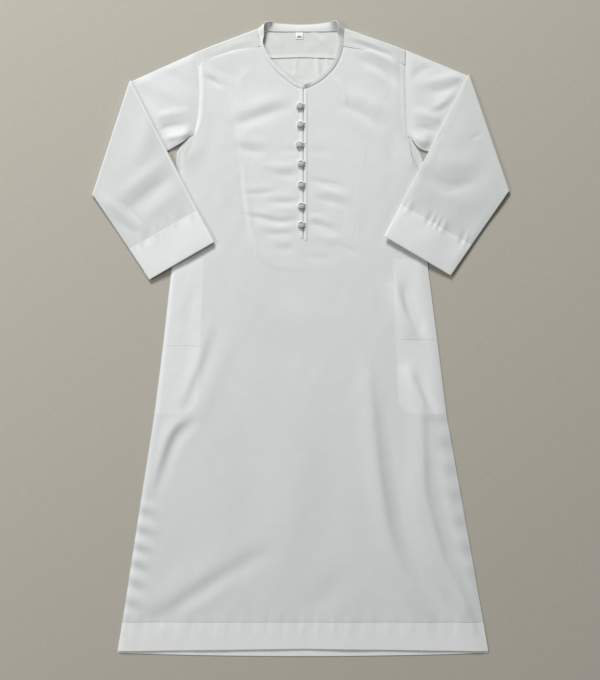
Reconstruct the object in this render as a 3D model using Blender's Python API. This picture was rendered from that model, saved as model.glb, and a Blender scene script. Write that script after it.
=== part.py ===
"""A thobe robe laid flat, face up, with both sleeves folded in over its front.

Sizes are in millimetres until a mesh is made, which turns them into metres. +X is to the right of the laid robe,
+Y runs from its hem to its collar, and +Z is up from the surface it lies on. "left" is the -X side.
"""
import math

import bmesh
import bpy
from mathutils import Vector

# ---------------------------------------------------------------- driving sizes, mm
MM = 0.001
CLOTH = 1.0          # one layer of cloth, at its least solid thickness
DOUBLE = 1.6         # cloth turned up or cut double: yoke, hem and cuffs
BAND = 1.8           # the collar band, cut double and stiffened
GAP = 0.3            # between pieces that are sewn together or lie on each other
FRONT_HEIGHT = 3.4   # underside of the front panel over the middle of the robe
EDGE_ROLL = 20.0     # how far in from the side seams the front panel reaches that height
HEM_SEAM_Y = -622.0  # the stitched line of the turned-up hem
SLIT_X = 5.7         # the chest slit, its half width and its lower end
SLIT_HALF = 0.8
SLIT_END_Y = 215.6
FOREARM_HEIGHT = 4.8     # underside of the folded-over forearm, clear of the front panel
CUFF_DEPTH = 81.0
CUFF_LIFT = 0.9          # how much the open cuff stands up at its edge
BUTTON_SIZE = (15.0, 14.0, 11.0)

# The body's outline, from the hem up each side seam and round the armhole to the shoulder.
BODY_EDGE = (
    # y, left x, right x
    (-697.0, -403.9, 412.8),
    (-622.0, -392.3, 401.0),
    (-176.0, -323.4, 321.6),
    (-15.0, -303.0, 301.4),
    (150.0, -284.7, 279.8),
    (300.0, -272.0, 272.5),
    (374.0, -268.4, 267.3),
    (404.0, -266.4, 255.0),
    (428.0, -257.0, 243.5),
    (444.4, -243.1, 237.6),
    (465.0, -232.0, 233.0),
    (490.0, -225.5, 230.5),
    (540.0, -222.5, 229.0),
    (600.0, -224.5, 228.3),
    (640.0, -229.0, 228.8),
)
# How high the front panel's underside is along that outline.
EDGE_HEIGHT = (
    # y, height
    (-700.0, 1.9),
    (-621.0, 1.9),
    (-590.0, 1.3),
    (444.0, 1.3),
    (490.0, 1.9),
    (700.0, 1.9),
)
# The neckline, where the collar band is sewn on, from the top of the slit to the front yoke seams.
NECKLINE = (
    # y, left x, right x
    (549.0, 4.9, 6.5),
    (556.0, -14.0, 24.0),
    (570.0, -33.0, 48.0),
    (592.0, -59.0, 71.0),
    (616.0, -77.0, 85.0),
    (642.0, -88.0, 92.5),
)
# Rows of the front panel: the heights at which each row meets the body's edge and its centre or neckline.
FRONT_ROWS = (
    # edge y, inner y, upward bow, steps to the next row
    (-622.0, -621.0, 0.0, 10),
    (-176.0, -176.0, 0.0, 4),
    (-15.0, -15.0, 0.0, 4),
    (150.0, 120.0, 0.0, 2),
    (230.0, 215.6, 0.0, 2),
    (300.0, 285.0, 0.0, 2),
    (374.0, 360.0, 0.0, 1),
    (404.0, 398.0, 0.0, 1),
    (428.0, 430.0, 0.0, 1),
    (444.4, 455.0, 0.0, 1),
    (465.0, 480.0, 0.0, 1),
    (490.0, 510.0, 0.0, 1),
    (525.0, 549.0, 0.0, 1),
    (545.0, 556.0, 0.0, 1),
    (560.0, 570.0, 1.0, 1),
    (576.0, 592.0, 3.0, 1),
    (590.0, 616.0, 5.0, 1),
    (602.0, 642.0, 6.0, 0),
)
# The largest folds of the front: soft ridges (rise above 0) and troughs (below 0) along straight runs.
FOLDS = (
    # start x, y, end x, y, half width, rise
    (174.0, -46.0, 207.0, -332.0, 26.0, -0.7),
    (207.0, -332.0, 306.0, -596.0, 28.0, -0.8),
    (232.0, -120.0, 262.0, -420.0, 26.0, 0.7),
    (276.0, -180.0, 328.0, -486.0, 22.0, -0.7),
    (-212.0, -20.0, -288.0, -210.0, 26.0, -0.7),
    (-288.0, -210.0, -332.0, -330.0, 22.0, -0.6),
    (-180.0, -60.0, -262.0, -330.0, 28.0, 0.5),
    (-330.0, -600.0, -68.0, -453.0, 32.0, -0.7),
    (-20.0, -560.0, 150.0, -600.0, 40.0, 0.6),
    (-112.0, 499.0, -13.0, 530.0, 22.0, -0.3),
    (92.0, 530.0, 174.0, 484.0, 24.0, -0.35),
    (-60.0, 60.0, 90.0, 30.0, 60.0, 0.5),
)
# The facing behind the chest opening, rounded at its foot.
FACING_ROWS = (
    # outer y, left x, right x, inner y
    (153.0, -36.0, 40.0, 152.0),
    (161.0, -66.0, 70.0, 158.0),
    (182.0, -99.0, 101.0, 174.0),
    (206.0, -116.0, 121.0, 195.0),
    (214.0, -117.2, 122.2, 204.6),
    (216.0, -117.5, 122.5, 205.6),
    (240.0, -121.0, 127.0, 232.0),
    (284.0, -125.4, 129.5, 284.0),
    (367.0, -132.0, 134.2, 367.0),
    (460.0, -140.0, 146.0, 455.0),
    (515.0, -152.0, 164.0, 510.0),
    (545.0, -160.0, 174.0, 546.0),
    (562.0, -163.0, 178.0, 562.0),
    (578.0, -166.0, 182.0, 584.0),
    (590.0, -168.0, 185.0, 608.0),
    (602.0, -170.0, 188.0, 632.0),
)
# The side-seam pocket bags, each from its inner edge out to just short of the side seam.
POCKET_ROWS = (
    # y, left inner x, right inner x
    (-164.0, -262.0, 250.0),
    (-158.0, -240.0, 228.0),
    (-140.0, -226.0, 214.5),
    (-60.0, -222.0, 211.0),
    (60.0, -218.0, 206.0),
    (176.0, -214.0, 202.0),
)
POCKET_INSET = 15.0
# The laid sleeve's corners. The forearm is the part beyond the fold, turned back over the robe.
SLEEVE_CORNERS = {
    # corner: (left x, left y, right x, right y)
    "shoulder": (-228.8, 631.4, 228.8, 636.0),
    "fold_top": (-376.2, 567.6, 370.7, 580.1),
    "elbow": (-459.8, 312.4, 459.8, 321.2),
    "cuff_outer": (-332.2, 129.8, 328.7, 139.0),
    "cuff_inner": (-189.2, 211.2, 182.2, 223.3),
    "underarm": (-243.1, 444.4, 237.6, 444.4),
}
# Rings along the sleeve before and after its fold.
UPPER_RINGS = (
    # share of the way from armhole to fold, share of the armhole's curve, inner gap
    (0.0, 1.0, 0.9),
    (0.14, 0.7, 0.9),
    (0.38, 0.2, 0.8),
    (0.68, 0.0, 0.6),
    (0.92, 0.0, 0.6),
)
FOREARM_RINGS = (
    # share of the way from fold to cuff seam, inner gap
    (0.06, 0.6),
    (0.3, 1.2),
    (0.55, 1.6),
    (0.8, 1.9),
    (1.0, 2.2),
)
ELBOW_ROUNDING = 3.0     # how far the fold stops short of the elbow's corner
FOLD_TURNS = (0.0, 36.0, 72.0, 108.0, 144.0, 180.0)
# The yoke, a double piece that lies behind the neck and runs over both shoulders to the front.
YOKE_FLAP = (
    # left seam x, y, left fold x, y, right seam x, y, right fold x, y, from the armhole to the neck
    (-224.4, 602.6, -227.6, 631.4, 228.0, 602.6, 228.4, 636.0),
    (-190.0, 616.5, -196.0, 643.8, 194.0, 616.5, 196.0, 648.0),
    (-156.2, 628.2, -163.0, 656.2, 160.4, 628.2, 163.0, 659.5),
    (-122.0, 636.8, -129.5, 669.0, 126.4, 636.8, 129.5, 671.5),
    (-88.2, 642.8, -96.0, 681.5, 92.8, 642.8, 96.0, 683.0),
)
YOKE_BACK_SEAM = (
    # x, y of the seam to the back panel
    (-230.0, 594.0),
    (-96.0, 616.0),
    (0.0, 619.5),
    (96.0, 616.0),
    (230.0, 594.0),
)
BACK_NECK_Y = 675.0
CURVED_SEAM_GAP = 0.5    # a little over the seam's gap, because both edges of this seam are curved
ROLL_STEPS = 4
# The collar band, round the neck from one side of the slit to the other: its seam edge and its free edge.
COLLAR = (
    # seam x, y, height; free edge x, y, height
    (7.3, 549.6, 3.9, 7.5, 562.0, 4.8),
    (24.4, 556.6, 3.9, 22.0, 568.6, 5.0),
    (47.6, 571.2, 3.9, 40.0, 580.6, 5.4),
    (70.0, 592.9, 3.9, 59.6, 600.6, 5.8),
    (84.0, 616.6, 3.9, 72.0, 620.6, 6.4),
    (92.0, 642.6, 3.9, 79.8, 645.0, 7.2),
    (93.6, 662.0, 3.8, 81.4, 668.0, 9.0),
    (95.0, 681.0, 3.2, 80.0, 689.0, 10.6),
    (84.0, 677.6, 1.5, 73.4, 695.6, 8.6),
    (62.0, 676.0, 1.2, 58.0, 695.0, 5.4),
    (30.0, 675.6, 1.1, 29.0, 692.0, 3.8),
    (0.0, 675.6, 1.1, 0.0, 691.0, 3.2),
    (-30.0, 675.6, 1.1, -29.0, 692.0, 3.8),
    (-62.0, 676.0, 1.2, -58.0, 694.0, 5.4),
    (-84.0, 677.6, 1.5, -73.4, 694.6, 8.6),
    (-95.0, 680.0, 3.2, -80.0, 688.0, 10.6),
    (-91.2, 662.0, 3.8, -80.4, 667.0, 9.0),
    (-87.6, 642.6, 3.9, -78.0, 645.0, 7.2),
    (-76.2, 616.8, 3.9, -66.0, 620.6, 6.4),
    (-58.2, 593.0, 3.9, -47.0, 600.6, 5.8),
    (-32.4, 571.2, 3.9, -26.0, 580.6, 5.4),
    (-14.4, 557.2, 3.9, -11.0, 568.6, 5.0),
    (4.1, 549.6, 3.9, 3.9, 562.0, 4.8),
)
# Placket strips: node, left x, right x, lower y, upper y, height above the front panel's underside, thickness.
PLACKET = (
    ("button_stand", -2.6, 14.0, 206.0, 545.0, -1.3, 1.0),
    ("button_edge", -2.6, 4.9, 216.2, 545.0, 1.3, 0.8),
    ("loop_edge", 6.5, 14.0, 211.0, 545.0, 1.3, 0.8),
)
BUTTONS = (
    # x, y
    (-2.2, 508.4),
    (-0.9, 467.7),
    (-3.1, 423.7),
    (0.4, 382.4),
    (0.9, 335.9),
    (0.9, 289.3),
    (0.9, 247.9),
)
LOOP_CORD = 1.2            # half thickness of the cord loops
LOOP_RADII = (7.9, 8.6)    # the loop's reach round its button, across and along the slit
LOOP_ABOVE = 1.0           # how far its middle is above the button's
LOOP_OPEN = 35.0           # degrees on either side of +X that its two legs leave free
LOOP_END_X = 12.8          # where both legs are sewn down on the loop edge
SIZE_TAB = (-11.0, 4.4, 659.5, 674.0, 0.6)   # left x, right x, lower y, upper y, thickness

COLOURS = {
    # material: (red, green, blue, roughness, metallic)
    "white_cloth": (0.72, 0.74, 0.73, 0.82, 0.0),
    "double_cloth": (0.76, 0.78, 0.76, 0.8, 0.0),
    "button_cord": (0.36, 0.38, 0.36, 0.6, 0.0),
    "tab": (0.85, 0.85, 0.84, 0.7, 0.0),
}


# ---------------------------------------------------------------- helpers
def between(a, b, share):
    return a + (b - a) * share


def read_off(table, value, column):
    """The table's value in a column, on straight lines between its rows, for a value of its first column."""
    rows = sorted(table)
    if value <= rows[0][0]:
        return rows[0][column]
    for low, high in zip(rows, rows[1:]):
        if value <= high[0]:
            return between(low[column], high[column], (value - low[0]) / (high[0] - low[0]))
    return rows[-1][column]


def smooth(share):
    share = min(1.0, max(0.0, share))
    return share * share * (3.0 - 2.0 * share)


def side_column(side):
    return 1 if side < 0 else 2


def edge_x(side, y):
    return read_off(BODY_EDGE, y, side_column(side))


def fold_height(x, y):
    """The sum of the front's folds at a point: each is bell-shaped across and fades out past its ends."""
    height = 0.0
    for x0, y0, x1, y1, half_width, rise in FOLDS:
        run = Vector((x1 - x0, y1 - y0))
        from_start = Vector((x - x0, y - y0))
        share = min(1.0, max(0.0, from_start.dot(run) / run.length_squared))
        away = (from_start - run * share).length
        height += rise * math.exp(-(away / half_width) ** 2)
    return height


def front_height(x, y):
    """Height of the front panel's underside: down on the back at the edges, level in the middle, with folds."""
    side = -1 if x < 0 else 1
    inward = abs(edge_x(side, y)) - abs(x)
    rise = smooth(inward / EDGE_ROLL)
    return between(read_off(EDGE_HEIGHT, y, 1), FRONT_HEIGHT + fold_height(x, y), rise)


def make_mesh(name, points, faces, material):
    mesh = bpy.data.meshes.new(name)
    mesh.from_pydata([tuple(value * MM for value in point) for point in points], [], faces)
    shell = bmesh.new()
    shell.from_mesh(mesh)
    bmesh.ops.recalc_face_normals(shell, faces=shell.faces)
    shell.to_mesh(mesh)
    shell.free()
    obj = bpy.data.objects.new(name, mesh)
    bpy.context.scene.collection.objects.link(obj)
    obj.data.materials.append(bpy.data.materials[material])
    return obj


def cloth(name, outer, inner, faces, material):
    """One wall of cloth: an outer and an inner layer with the same faces, joined along every open edge."""
    count = len(outer)
    used = {}
    for face in faces:
        for a, b in zip(face, face[1:] + face[:1]):
            used[(a, b)] = True
    walls = [(b, a, a + count, b + count) for a, b in used if (b, a) not in used]
    back = [tuple(index + count for index in reversed(face)) for face in faces]
    return make_mesh(name, list(outer) + list(inner), list(faces) + back + walls, material)


class Lattice:
    """Points shared by key, so that neighbouring patches of one piece meet at the same points."""

    def __init__(self):
        self.keys = {}
        self.points = []
        self.faces = []

    def point(self, x, y):
        key = (round(x, 2), round(y, 2))
        if key not in self.keys:
            self.keys[key] = len(self.points)
            self.points.append((x, y))
        return self.keys[key]

    def patch(self, rows, left_to_right):
        for low, high in zip(rows, rows[1:]):
            for a, b, c, d in zip(low, low[1:], high[1:], high):
                self.faces.append((a, b, c, d) if left_to_right else (d, c, b, a))


def flat_piece(name, lattice, underside, thickness, material):
    """A lattice laid at the height that a function gives for its underside."""
    low = [(x, y, underside(x, y)) for x, y in lattice.points]
    high = [(x, y, z + thickness) for x, y, z in low]
    return cloth(name, high, low, lattice.faces, material)


def half_rows(lattice, rows, shares):
    """Rows of points from the body's edge to its centre: each row is (outer x, y, inner x, y, bow)."""
    made = []
    for outer_x, outer_y, inner_x, inner_y, bow in rows:
        made.append([
            lattice.point(between(outer_x, inner_x, s), between(outer_y, inner_y, s) + bow * 4.0 * s * (1.0 - s))
            for s in shares])
    return made


# ---------------------------------------------------------------- body
BACK_SHARES = (0.0, 0.3, 0.57, 0.8, 1.0)
EDGE_SHARES = (0.0, 0.02, 0.06, 0.13, 0.22, 0.31, 0.4, 0.5, 0.6, 0.7, 0.8, 0.9, 1.0)


def front_rows(side):
    """The front panel's rows on one side, with the slit and the neckline as their inner ends."""
    rows = []
    for (edge_y, inner_y, bow, steps), after in zip(FRONT_ROWS, FRONT_ROWS[1:] + FRONT_ROWS[-1:]):
        for step in range(max(steps, 1)):
            share = step / max(steps, 1)
            outer = between(edge_y, after[0], share)
            inner = between(inner_y, after[1], share)
            if inner <= SLIT_END_Y:
                inner_x = SLIT_X
            elif inner < NECKLINE[0][0]:
                inner_x = SLIT_X + side * SLIT_HALF
            else:
                inner_x = read_off(NECKLINE, inner, side_column(side))
            rows.append((edge_x(side, outer), outer, inner_x, inner, between(bow, after[2], share)))
    return rows


def build_front():
    lattice = Lattice()
    for side in (-1, 1):
        lattice.patch(half_rows(lattice, front_rows(side), EDGE_SHARES), side < 0)
    return flat_piece("front_panel", lattice, front_height, CLOTH, "white_cloth")


def build_back():
    """The back panel lies flat on the surface, from the hem's seam up to the yoke's."""
    lattice = Lattice()
    heights = [row[0] for row in BODY_EDGE if HEM_SEAM_Y < row[0] < 590.0]
    for side in (-1, 1):
        rows = [(edge_x(side, y), y, 0.0, y, 0.0) for y in [HEM_SEAM_Y] + heights]
        made = half_rows(lattice, rows, BACK_SHARES)
        top_x = [edge_x(side, YOKE_BACK_SEAM[0][1]) * (1.0 - share) for share in BACK_SHARES]
        made.append([lattice.point(x, read_off(YOKE_BACK_SEAM, x, 1) - GAP) for x in top_x])
        lattice.patch(made, side < 0)
    return flat_piece("back_panel", lattice, lambda x, y: 0.0, CLOTH, "white_cloth")


def build_hems():
    """Both hems are the cloth turned up double: the front's edge is drawn up a little at its middle."""
    for name, corner_y, middle_y, underside in (
            ("hem_front", -689.5, -684.0, front_height),
            ("hem_back", -690.0, -697.0, lambda x, y: 0.0)):
        lattice = Lattice()
        seam_y = HEM_SEAM_Y - GAP
        for side in (-1, 1):
            rows = []
            for share in (0.0, 0.5, 1.0):
                outer_y = between(corner_y, seam_y, share)
                inner_y = between(middle_y, seam_y + (1.0 if name == "hem_front" else 0.0), share)
                rows.append((edge_x(side, outer_y), outer_y, SLIT_X, inner_y, 0.0))
            lattice.patch(half_rows(lattice, rows, EDGE_SHARES), side < 0)
        flat_piece(name, lattice, underside, DOUBLE, "double_cloth")


def build_facing():
    """The chest facing lies under the front panel, on either side of the button stand."""
    lattice = Lattice()
    stand_left, stand_right, stand_foot = PLACKET[0][1], PLACKET[0][2], PLACKET[0][3]
    for side in (-1, 1):
        beside_stand = stand_left - GAP if side < 0 else stand_right + GAP
        rows = []
        for outer_y, left_x, right_x, inner_y in FACING_ROWS:
            outer_x = left_x if side < 0 else right_x
            if inner_y < stand_foot - 2.0 * GAP:
                inner_x = SLIT_X
            elif inner_y < 548.0:
                inner_x = beside_stand
            else:
                inner_x = read_off(NECKLINE, inner_y, side_column(side)) + side * 1.0
            rows.append((outer_x, outer_y, inner_x, inner_y, 0.0))
        lattice.patch(half_rows(lattice, rows, (0.0, 0.2, 0.4, 0.6, 0.8, 1.0)), side < 0)
    under_front = CLOTH + 1.5 * GAP
    return flat_piece("chest_facing", lattice, lambda x, y: front_height(x, y) - under_front, CLOTH, "double_cloth")


def build_pockets():
    """The pocket bags lie between the front and back panels, just inside the side seams."""
    under_front = CLOTH + 1.5 * GAP
    for side, name in ((-1, "pocket_bag_left"), (1, "pocket_bag_right")):
        lattice = Lattice()
        rows = []
        for (y, *inner), after in zip(POCKET_ROWS, POCKET_ROWS[1:]):
            steps = 3 if after[0] - y > 50.0 else 1
            for step in range(steps):
                share = step / steps
                row_y = between(y, after[0], share)
                inner_x = between(inner[0] if side < 0 else inner[1], after[side_column(side)], share)
                rows.append((edge_x(side, row_y) - side * POCKET_INSET, row_y, inner_x, row_y, 0.0))
        last_y = POCKET_ROWS[-1][0]
        last_x = POCKET_ROWS[-1][side_column(side)]
        rows.append((edge_x(side, last_y) - side * POCKET_INSET, last_y, last_x, last_y, 0.0))
        lattice.patch(half_rows(lattice, rows, (0.0, 0.1, 0.35, 0.65, 1.0)), side < 0)
        flat_piece(name, lattice, lambda x, y: front_height(x, y) - under_front, CLOTH, "double_cloth")


def build_yoke():
    """The yoke: one back strip under the neck, and a flap on each side that rolls over the shoulder."""
    outer, inner, faces, keys = [], [], [], {}
    roll_height = (FRONT_HEIGHT + DOUBLE) / 2.0

    def add(key, out_point, in_point):
        if key not in keys:
            keys[key] = len(outer)
            outer.append(out_point)
            inner.append(in_point)
        return keys[key]

    def strip(x, y_top, key, at_armhole=0):
        """The back rows at one column, from the neck or the fold down to the seam, lying on the surface."""
        column = []
        low_x = edge_x(at_armhole, YOKE_BACK_SEAM[0][1]) if at_armhole else x
        for row in range(4):
            y = between(y_top, read_off(YOKE_BACK_SEAM, low_x, 1), row / 3.0)
            row_x = edge_x(at_armhole, y) if at_armhole else x
            column.append(add((key, row), (row_x, y, 0.0), (row_x, y, DOUBLE)))
        return column

    columns = []
    for side in (-1, 1):
        flap_columns = []
        for index, row in enumerate(YOKE_FLAP):
            seam_x, seam_y, fold_x, fold_y = row[0:4] if side < 0 else row[4:8]
            seam_y += CURVED_SEAM_GAP
            column = []
            for step in range(3):
                share = step / 3.0
                x, y = between(seam_x, fold_x, share), between(seam_y, fold_y - roll_height, share)
                z = front_height(x, y)
                if index == 0:
                    z = max(z, DOUBLE + GAP)
                column.append(add((side, index, "flap", step), (x, y, z + DOUBLE), (x, y, z)))
            for step in range(ROLL_STEPS + 1):
                turn = math.radians(90.0 - 180.0 * step / ROLL_STEPS)
                y = fold_y - roll_height + roll_height * math.cos(turn)
                z = roll_height + roll_height * math.sin(turn)
                inner_radius = roll_height - DOUBLE
                inner_y = fold_y - roll_height + inner_radius * math.cos(turn)
                inner_z = roll_height + inner_radius * math.sin(turn)
                column.append(add((side, index, "roll", step), (fold_x, y, z), (fold_x, inner_y, inner_z)))
            armhole = side if index == 0 else 0
            column += strip(fold_x, fold_y - 2.0 * roll_height, (side, index, "back"), armhole)
            flap_columns.append(column)
        for a, b in zip(flap_columns, flap_columns[1:]):
            for p, q, r, s in zip(a, a[1:], b[1:], b):
                faces.append((p, q, r, s) if side < 0 else (s, r, q, p))
        columns.append(flap_columns[-1][-4:])
    middle = [columns[0]]
    for x in (-60.0, -30.0, 0.0, 30.0, 60.0):
        middle.append(strip(x, BACK_NECK_Y, ("middle", x)))
    middle.append(columns[1])
    for a, b in zip(middle, middle[1:]):
        for p, q, r, s in zip(a, a[1:], b[1:], b):
            faces.append((p, q, r, s))
    return cloth("yoke", outer, inner, faces, "double_cloth")


# ---------------------------------------------------------------- sleeves
ACROSS = (0.0, 0.2, 0.4, 0.6, 0.8, 1.0)
EDGE_PROFILE = ((0.0, 0.0), (0.3, 0.72), (1.2, 1.0))   # distance in and height of a rolled edge, in half heights


def corner(name, side):
    values = SLEEVE_CORNERS[name]
    return Vector(values[0:2] if side < 0 else values[2:4])


def loop(side, top, under, curve, middle, half, inset, turn, outward):
    """One loop of a flattened tube: its front wall from top edge to underarm, and its back wall back again."""
    across = under - top
    width = across.length
    direction = across / width
    stations = [(inset + half * d, h) for d, h in EDGE_PROFILE]
    inside = inset + half * EDGE_PROFILE[-1][0]
    stations += [(between(inside, width - inside, share), 1.0) for share in ACROSS[1:-1]]
    stations += [(width - inset - half * d, h) for d, h in reversed(EDGE_PROFILE)]
    front, back = [], []
    for distance, rise in stations:
        spot = top + direction * distance
        straight_x = between(corner("shoulder", side).x, corner("underarm", side).x, distance / width)
        straight_y = between(corner("shoulder", side).y, corner("underarm", side).y, distance / width)
        spot.x += curve * (edge_x(side, straight_y) + side * GAP - straight_x)
        lift = math.cos(turn) * half * rise
        push = -math.sin(turn) * half * rise
        front.append((spot.x + outward.x * push, spot.y + outward.y * push, middle + lift))
        back.append((spot.x - outward.x * push, spot.y - outward.y * push, middle - lift))
    return front + back[-2:0:-1]


def tube(name, rings, wall, side, material):
    """A tube of cloth through its rings, open at both ends. A ring is (top, under, curve, middle, half, turn, out)."""
    outer, inner, faces = [], [], []
    for top, under, curve, middle, half, turn, out in rings:
        ring = loop(side, top, under, curve, middle, half, 0.0, turn, out)
        outer += ring
        inner += loop(side, top, under, curve, middle, half - wall, wall, turn, out)
    count = len(ring)
    for first in range(0, count * (len(rings) - 1), count):
        for index in range(count):
            a, b = first + index, first + (index + 1) % count
            face = (a, b, b + count, a + count)
            faces.append(face if side < 0 else face[::-1])
    return cloth(name, outer, inner, faces, material)


def sleeve_rings(side):
    shoulder, underarm = corner("shoulder", side), corner("underarm", side)
    fold_top, elbow = corner("fold_top", side), corner("elbow", side)
    cuff_inner, cuff_outer = corner("cuff_inner", side), corner("cuff_outer", side)
    along = (elbow - fold_top).normalized()
    outward = Vector((along.y, -along.x)) * (1.0 if side < 0 else -1.0)
    if outward.x * side < 0:
        outward = -outward
    half = CLOTH + 0.3
    low_middle, high_middle = half, FOREARM_HEIGHT + half
    bend = (high_middle - low_middle) / 2.0
    fold_top = fold_top - outward * (bend + half)
    elbow = elbow - outward * (bend + half) - along * ELBOW_ROUNDING
    flat = Vector((0.0, 0.0))
    rings = []
    for share, curve, gap in UPPER_RINGS:
        thick = CLOTH + gap / 2.0
        rings.append((shoulder.lerp(fold_top, share), underarm.lerp(elbow, share), curve, thick, thick, 0.0, flat))
    for degrees in FOLD_TURNS:
        turn = math.radians(degrees)
        push = outward * bend * math.sin(turn)
        middle = low_middle + bend * (1.0 - math.cos(turn))
        rings.append((fold_top + push, elbow + push, 0.0, middle, half, turn, outward))
    inner_line, outer_line = cuff_inner - fold_top, cuff_outer - elbow
    seam_top = fold_top + inner_line * (1.0 - CUFF_DEPTH / inner_line.length)
    seam_under = elbow + outer_line * (1.0 - CUFF_DEPTH / outer_line.length)
    for share, gap in FOREARM_RINGS:
        thick = CLOTH + gap / 2.0
        top, under = fold_top.lerp(seam_top, share), elbow.lerp(seam_under, share)
        rings.append((top, under, 0.0, FOREARM_HEIGHT + thick, thick, math.pi, flat))
    cuff = []
    gap_step = GAP / CUFF_DEPTH
    for share, lift in ((gap_step, 0.0), (0.5, CUFF_LIFT * 0.4), (1.0, CUFF_LIFT)):
        top, under = seam_top.lerp(cuff_inner, share), seam_under.lerp(cuff_outer, share)
        cuff.append((top, under, 0.0, rings[-1][3] + lift, rings[-1][4], math.pi, flat))
    return rings, cuff


def build_sleeves():
    for side, word in ((-1, "left"), (1, "right")):
        rings, cuff = sleeve_rings(side)
        tube("sleeve_" + word, rings, CLOTH, side, "white_cloth")
        tube("cuff_" + word, cuff, DOUBLE, side, "double_cloth")


# ---------------------------------------------------------------- collar, placket, buttons and tab
def build_collar():
    """The band as a strip of sections, thickened along its own normals."""
    rows = [[Vector(row[0:3]), (Vector(row[0:3]) + Vector(row[3:6])) / 2.0, Vector(row[3:6])] for row in COLLAR]
    outer, inner, faces = [], [], []
    for index, row in enumerate(rows):
        along = rows[min(index + 1, len(rows) - 1)][1] - rows[max(index - 1, 0)][1]
        normal = along.cross(row[2] - row[0]).normalized()
        for point in row:
            outer.append(point - normal * BAND / 2.0)
            inner.append(point + normal * BAND / 2.0)
    for index in range(len(rows) - 1):
        for step in range(2):
            a = index * 3 + step
            faces.append((a, a + 1, a + 4, a + 3))
    return cloth("collar_band", outer, inner, faces, "double_cloth")


def build_placket():
    for name, left_x, right_x, low_y, high_y, above, thickness in PLACKET:
        lattice = Lattice()
        rows = []
        steps = 12
        for step in range(steps + 1):
            y = between(low_y, high_y, step / steps)
            rows.append([lattice.point(left_x, y), lattice.point(right_x, y)])
        lattice.patch(rows, True)
        flat_piece(name, lattice, lambda x, y, lift=above: front_height(x, y) + lift, thickness, "double_cloth")


def build_buttons():
    """Knotted ball buttons that sit on the button edge, each turned a little against the next."""
    mesh = None
    for index, (x, y) in enumerate(BUTTONS):
        base = front_height(x, y) + PLACKET[1][5] + PLACKET[1][6] + GAP
        centre = Vector((x, y, base + BUTTON_SIZE[2] / 2.0))
        if mesh is None:
            bpy.ops.mesh.primitive_uv_sphere_add(segments=12, ring_count=8, radius=0.5 * MM)
            obj = bpy.context.object
            for vertex in obj.data.vertices:
                vertex.co = Vector(vertex.co[axis] * BUTTON_SIZE[axis] for axis in range(3))
            obj.data.materials.append(bpy.data.materials["button_cord"])
            obj.data.shade_smooth()
            mesh = obj.data
        else:
            obj = bpy.data.objects.new("button", mesh)
            bpy.context.scene.collection.objects.link(obj)
        obj.name = "button_" + str(index + 1)
        obj.location = centre * MM
        obj.rotation_euler.z = math.radians(17.0 * index)


def build_loops():
    """Cord loops that are sewn to the loop edge and go round the foot of each button."""
    steps = 12
    for index, (x, y) in enumerate(BUTTONS):
        z = front_height(x, y) + PLACKET[2][5] + PLACKET[2][6] + GAP + LOOP_CORD
        route = [(LOOP_END_X, y + LOOP_ABOVE + LOOP_CORD * 2.5, z)]
        for step in range(steps + 1):
            angle = math.radians(between(LOOP_OPEN, 360.0 - LOOP_OPEN, step / steps))
            route.append((x + LOOP_RADII[0] * math.cos(angle), y + LOOP_ABOVE + LOOP_RADII[1] * math.sin(angle), z))
        route.append((LOOP_END_X, y + LOOP_ABOVE - LOOP_CORD * 2.5, z))
        curve = bpy.data.curves.new("button_loop_" + str(index + 1), "CURVE")
        curve.dimensions = "3D"
        curve.bevel_depth = LOOP_CORD * MM
        curve.bevel_resolution = 1
        curve.use_fill_caps = True
        spline = curve.splines.new("POLY")
        spline.points.add(len(route) - 1)
        for point, place in zip(spline.points, route):
            point.co = (place[0] * MM, place[1] * MM, place[2] * MM, 1.0)
        curve.materials.append(bpy.data.materials["white_cloth"])
        obj = bpy.data.objects.new(curve.name, curve)
        bpy.context.scene.collection.objects.link(obj)


def build_size_tab():
    left_x, right_x, low_y, high_y, thickness = SIZE_TAB
    lattice = Lattice()
    rows = [[lattice.point(x, y) for x in (left_x, right_x)] for y in (low_y, high_y)]
    lattice.patch(rows, True)
    flat_piece("size_tab", lattice, lambda x, y: DOUBLE + GAP, thickness, "tab")


def build_materials():
    for name, (red, green, blue, roughness, metallic) in COLOURS.items():
        material = bpy.data.materials.new(name)
        material.use_nodes = True
        shader = material.node_tree.nodes["Principled BSDF"]
        shader.inputs["Base Color"].default_value = (red, green, blue, 1.0)
        shader.inputs["Roughness"].default_value = roughness
        shader.inputs["Metallic"].default_value = metallic


def main():
    for obj in list(bpy.data.objects):
        bpy.data.objects.remove(obj, do_unlink=True)
    build_materials()
    build_back()
    build_hems()
    build_pockets()
    build_facing()
    build_front()
    build_yoke()
    build_sleeves()
    build_collar()
    build_placket()
    build_buttons()
    build_loops()
    build_size_tab()


main()
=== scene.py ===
# %% [markdown]
# # A thobe laid flat
# A thobe is a long, plain robe with a narrow standing collar, long sleeves and a short buttoned slit.
# Here it is laid on a surface, face up, and its sleeves are folded in over the front, as a shop or a
# tailor lays it out. The solid model already holds its size and its layers. This lesson gives each layer
# its real look: thin cloth with soft creases, stitched seams, knotted buttons and a fine weave.

# %% Load the solid model
import math

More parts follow.
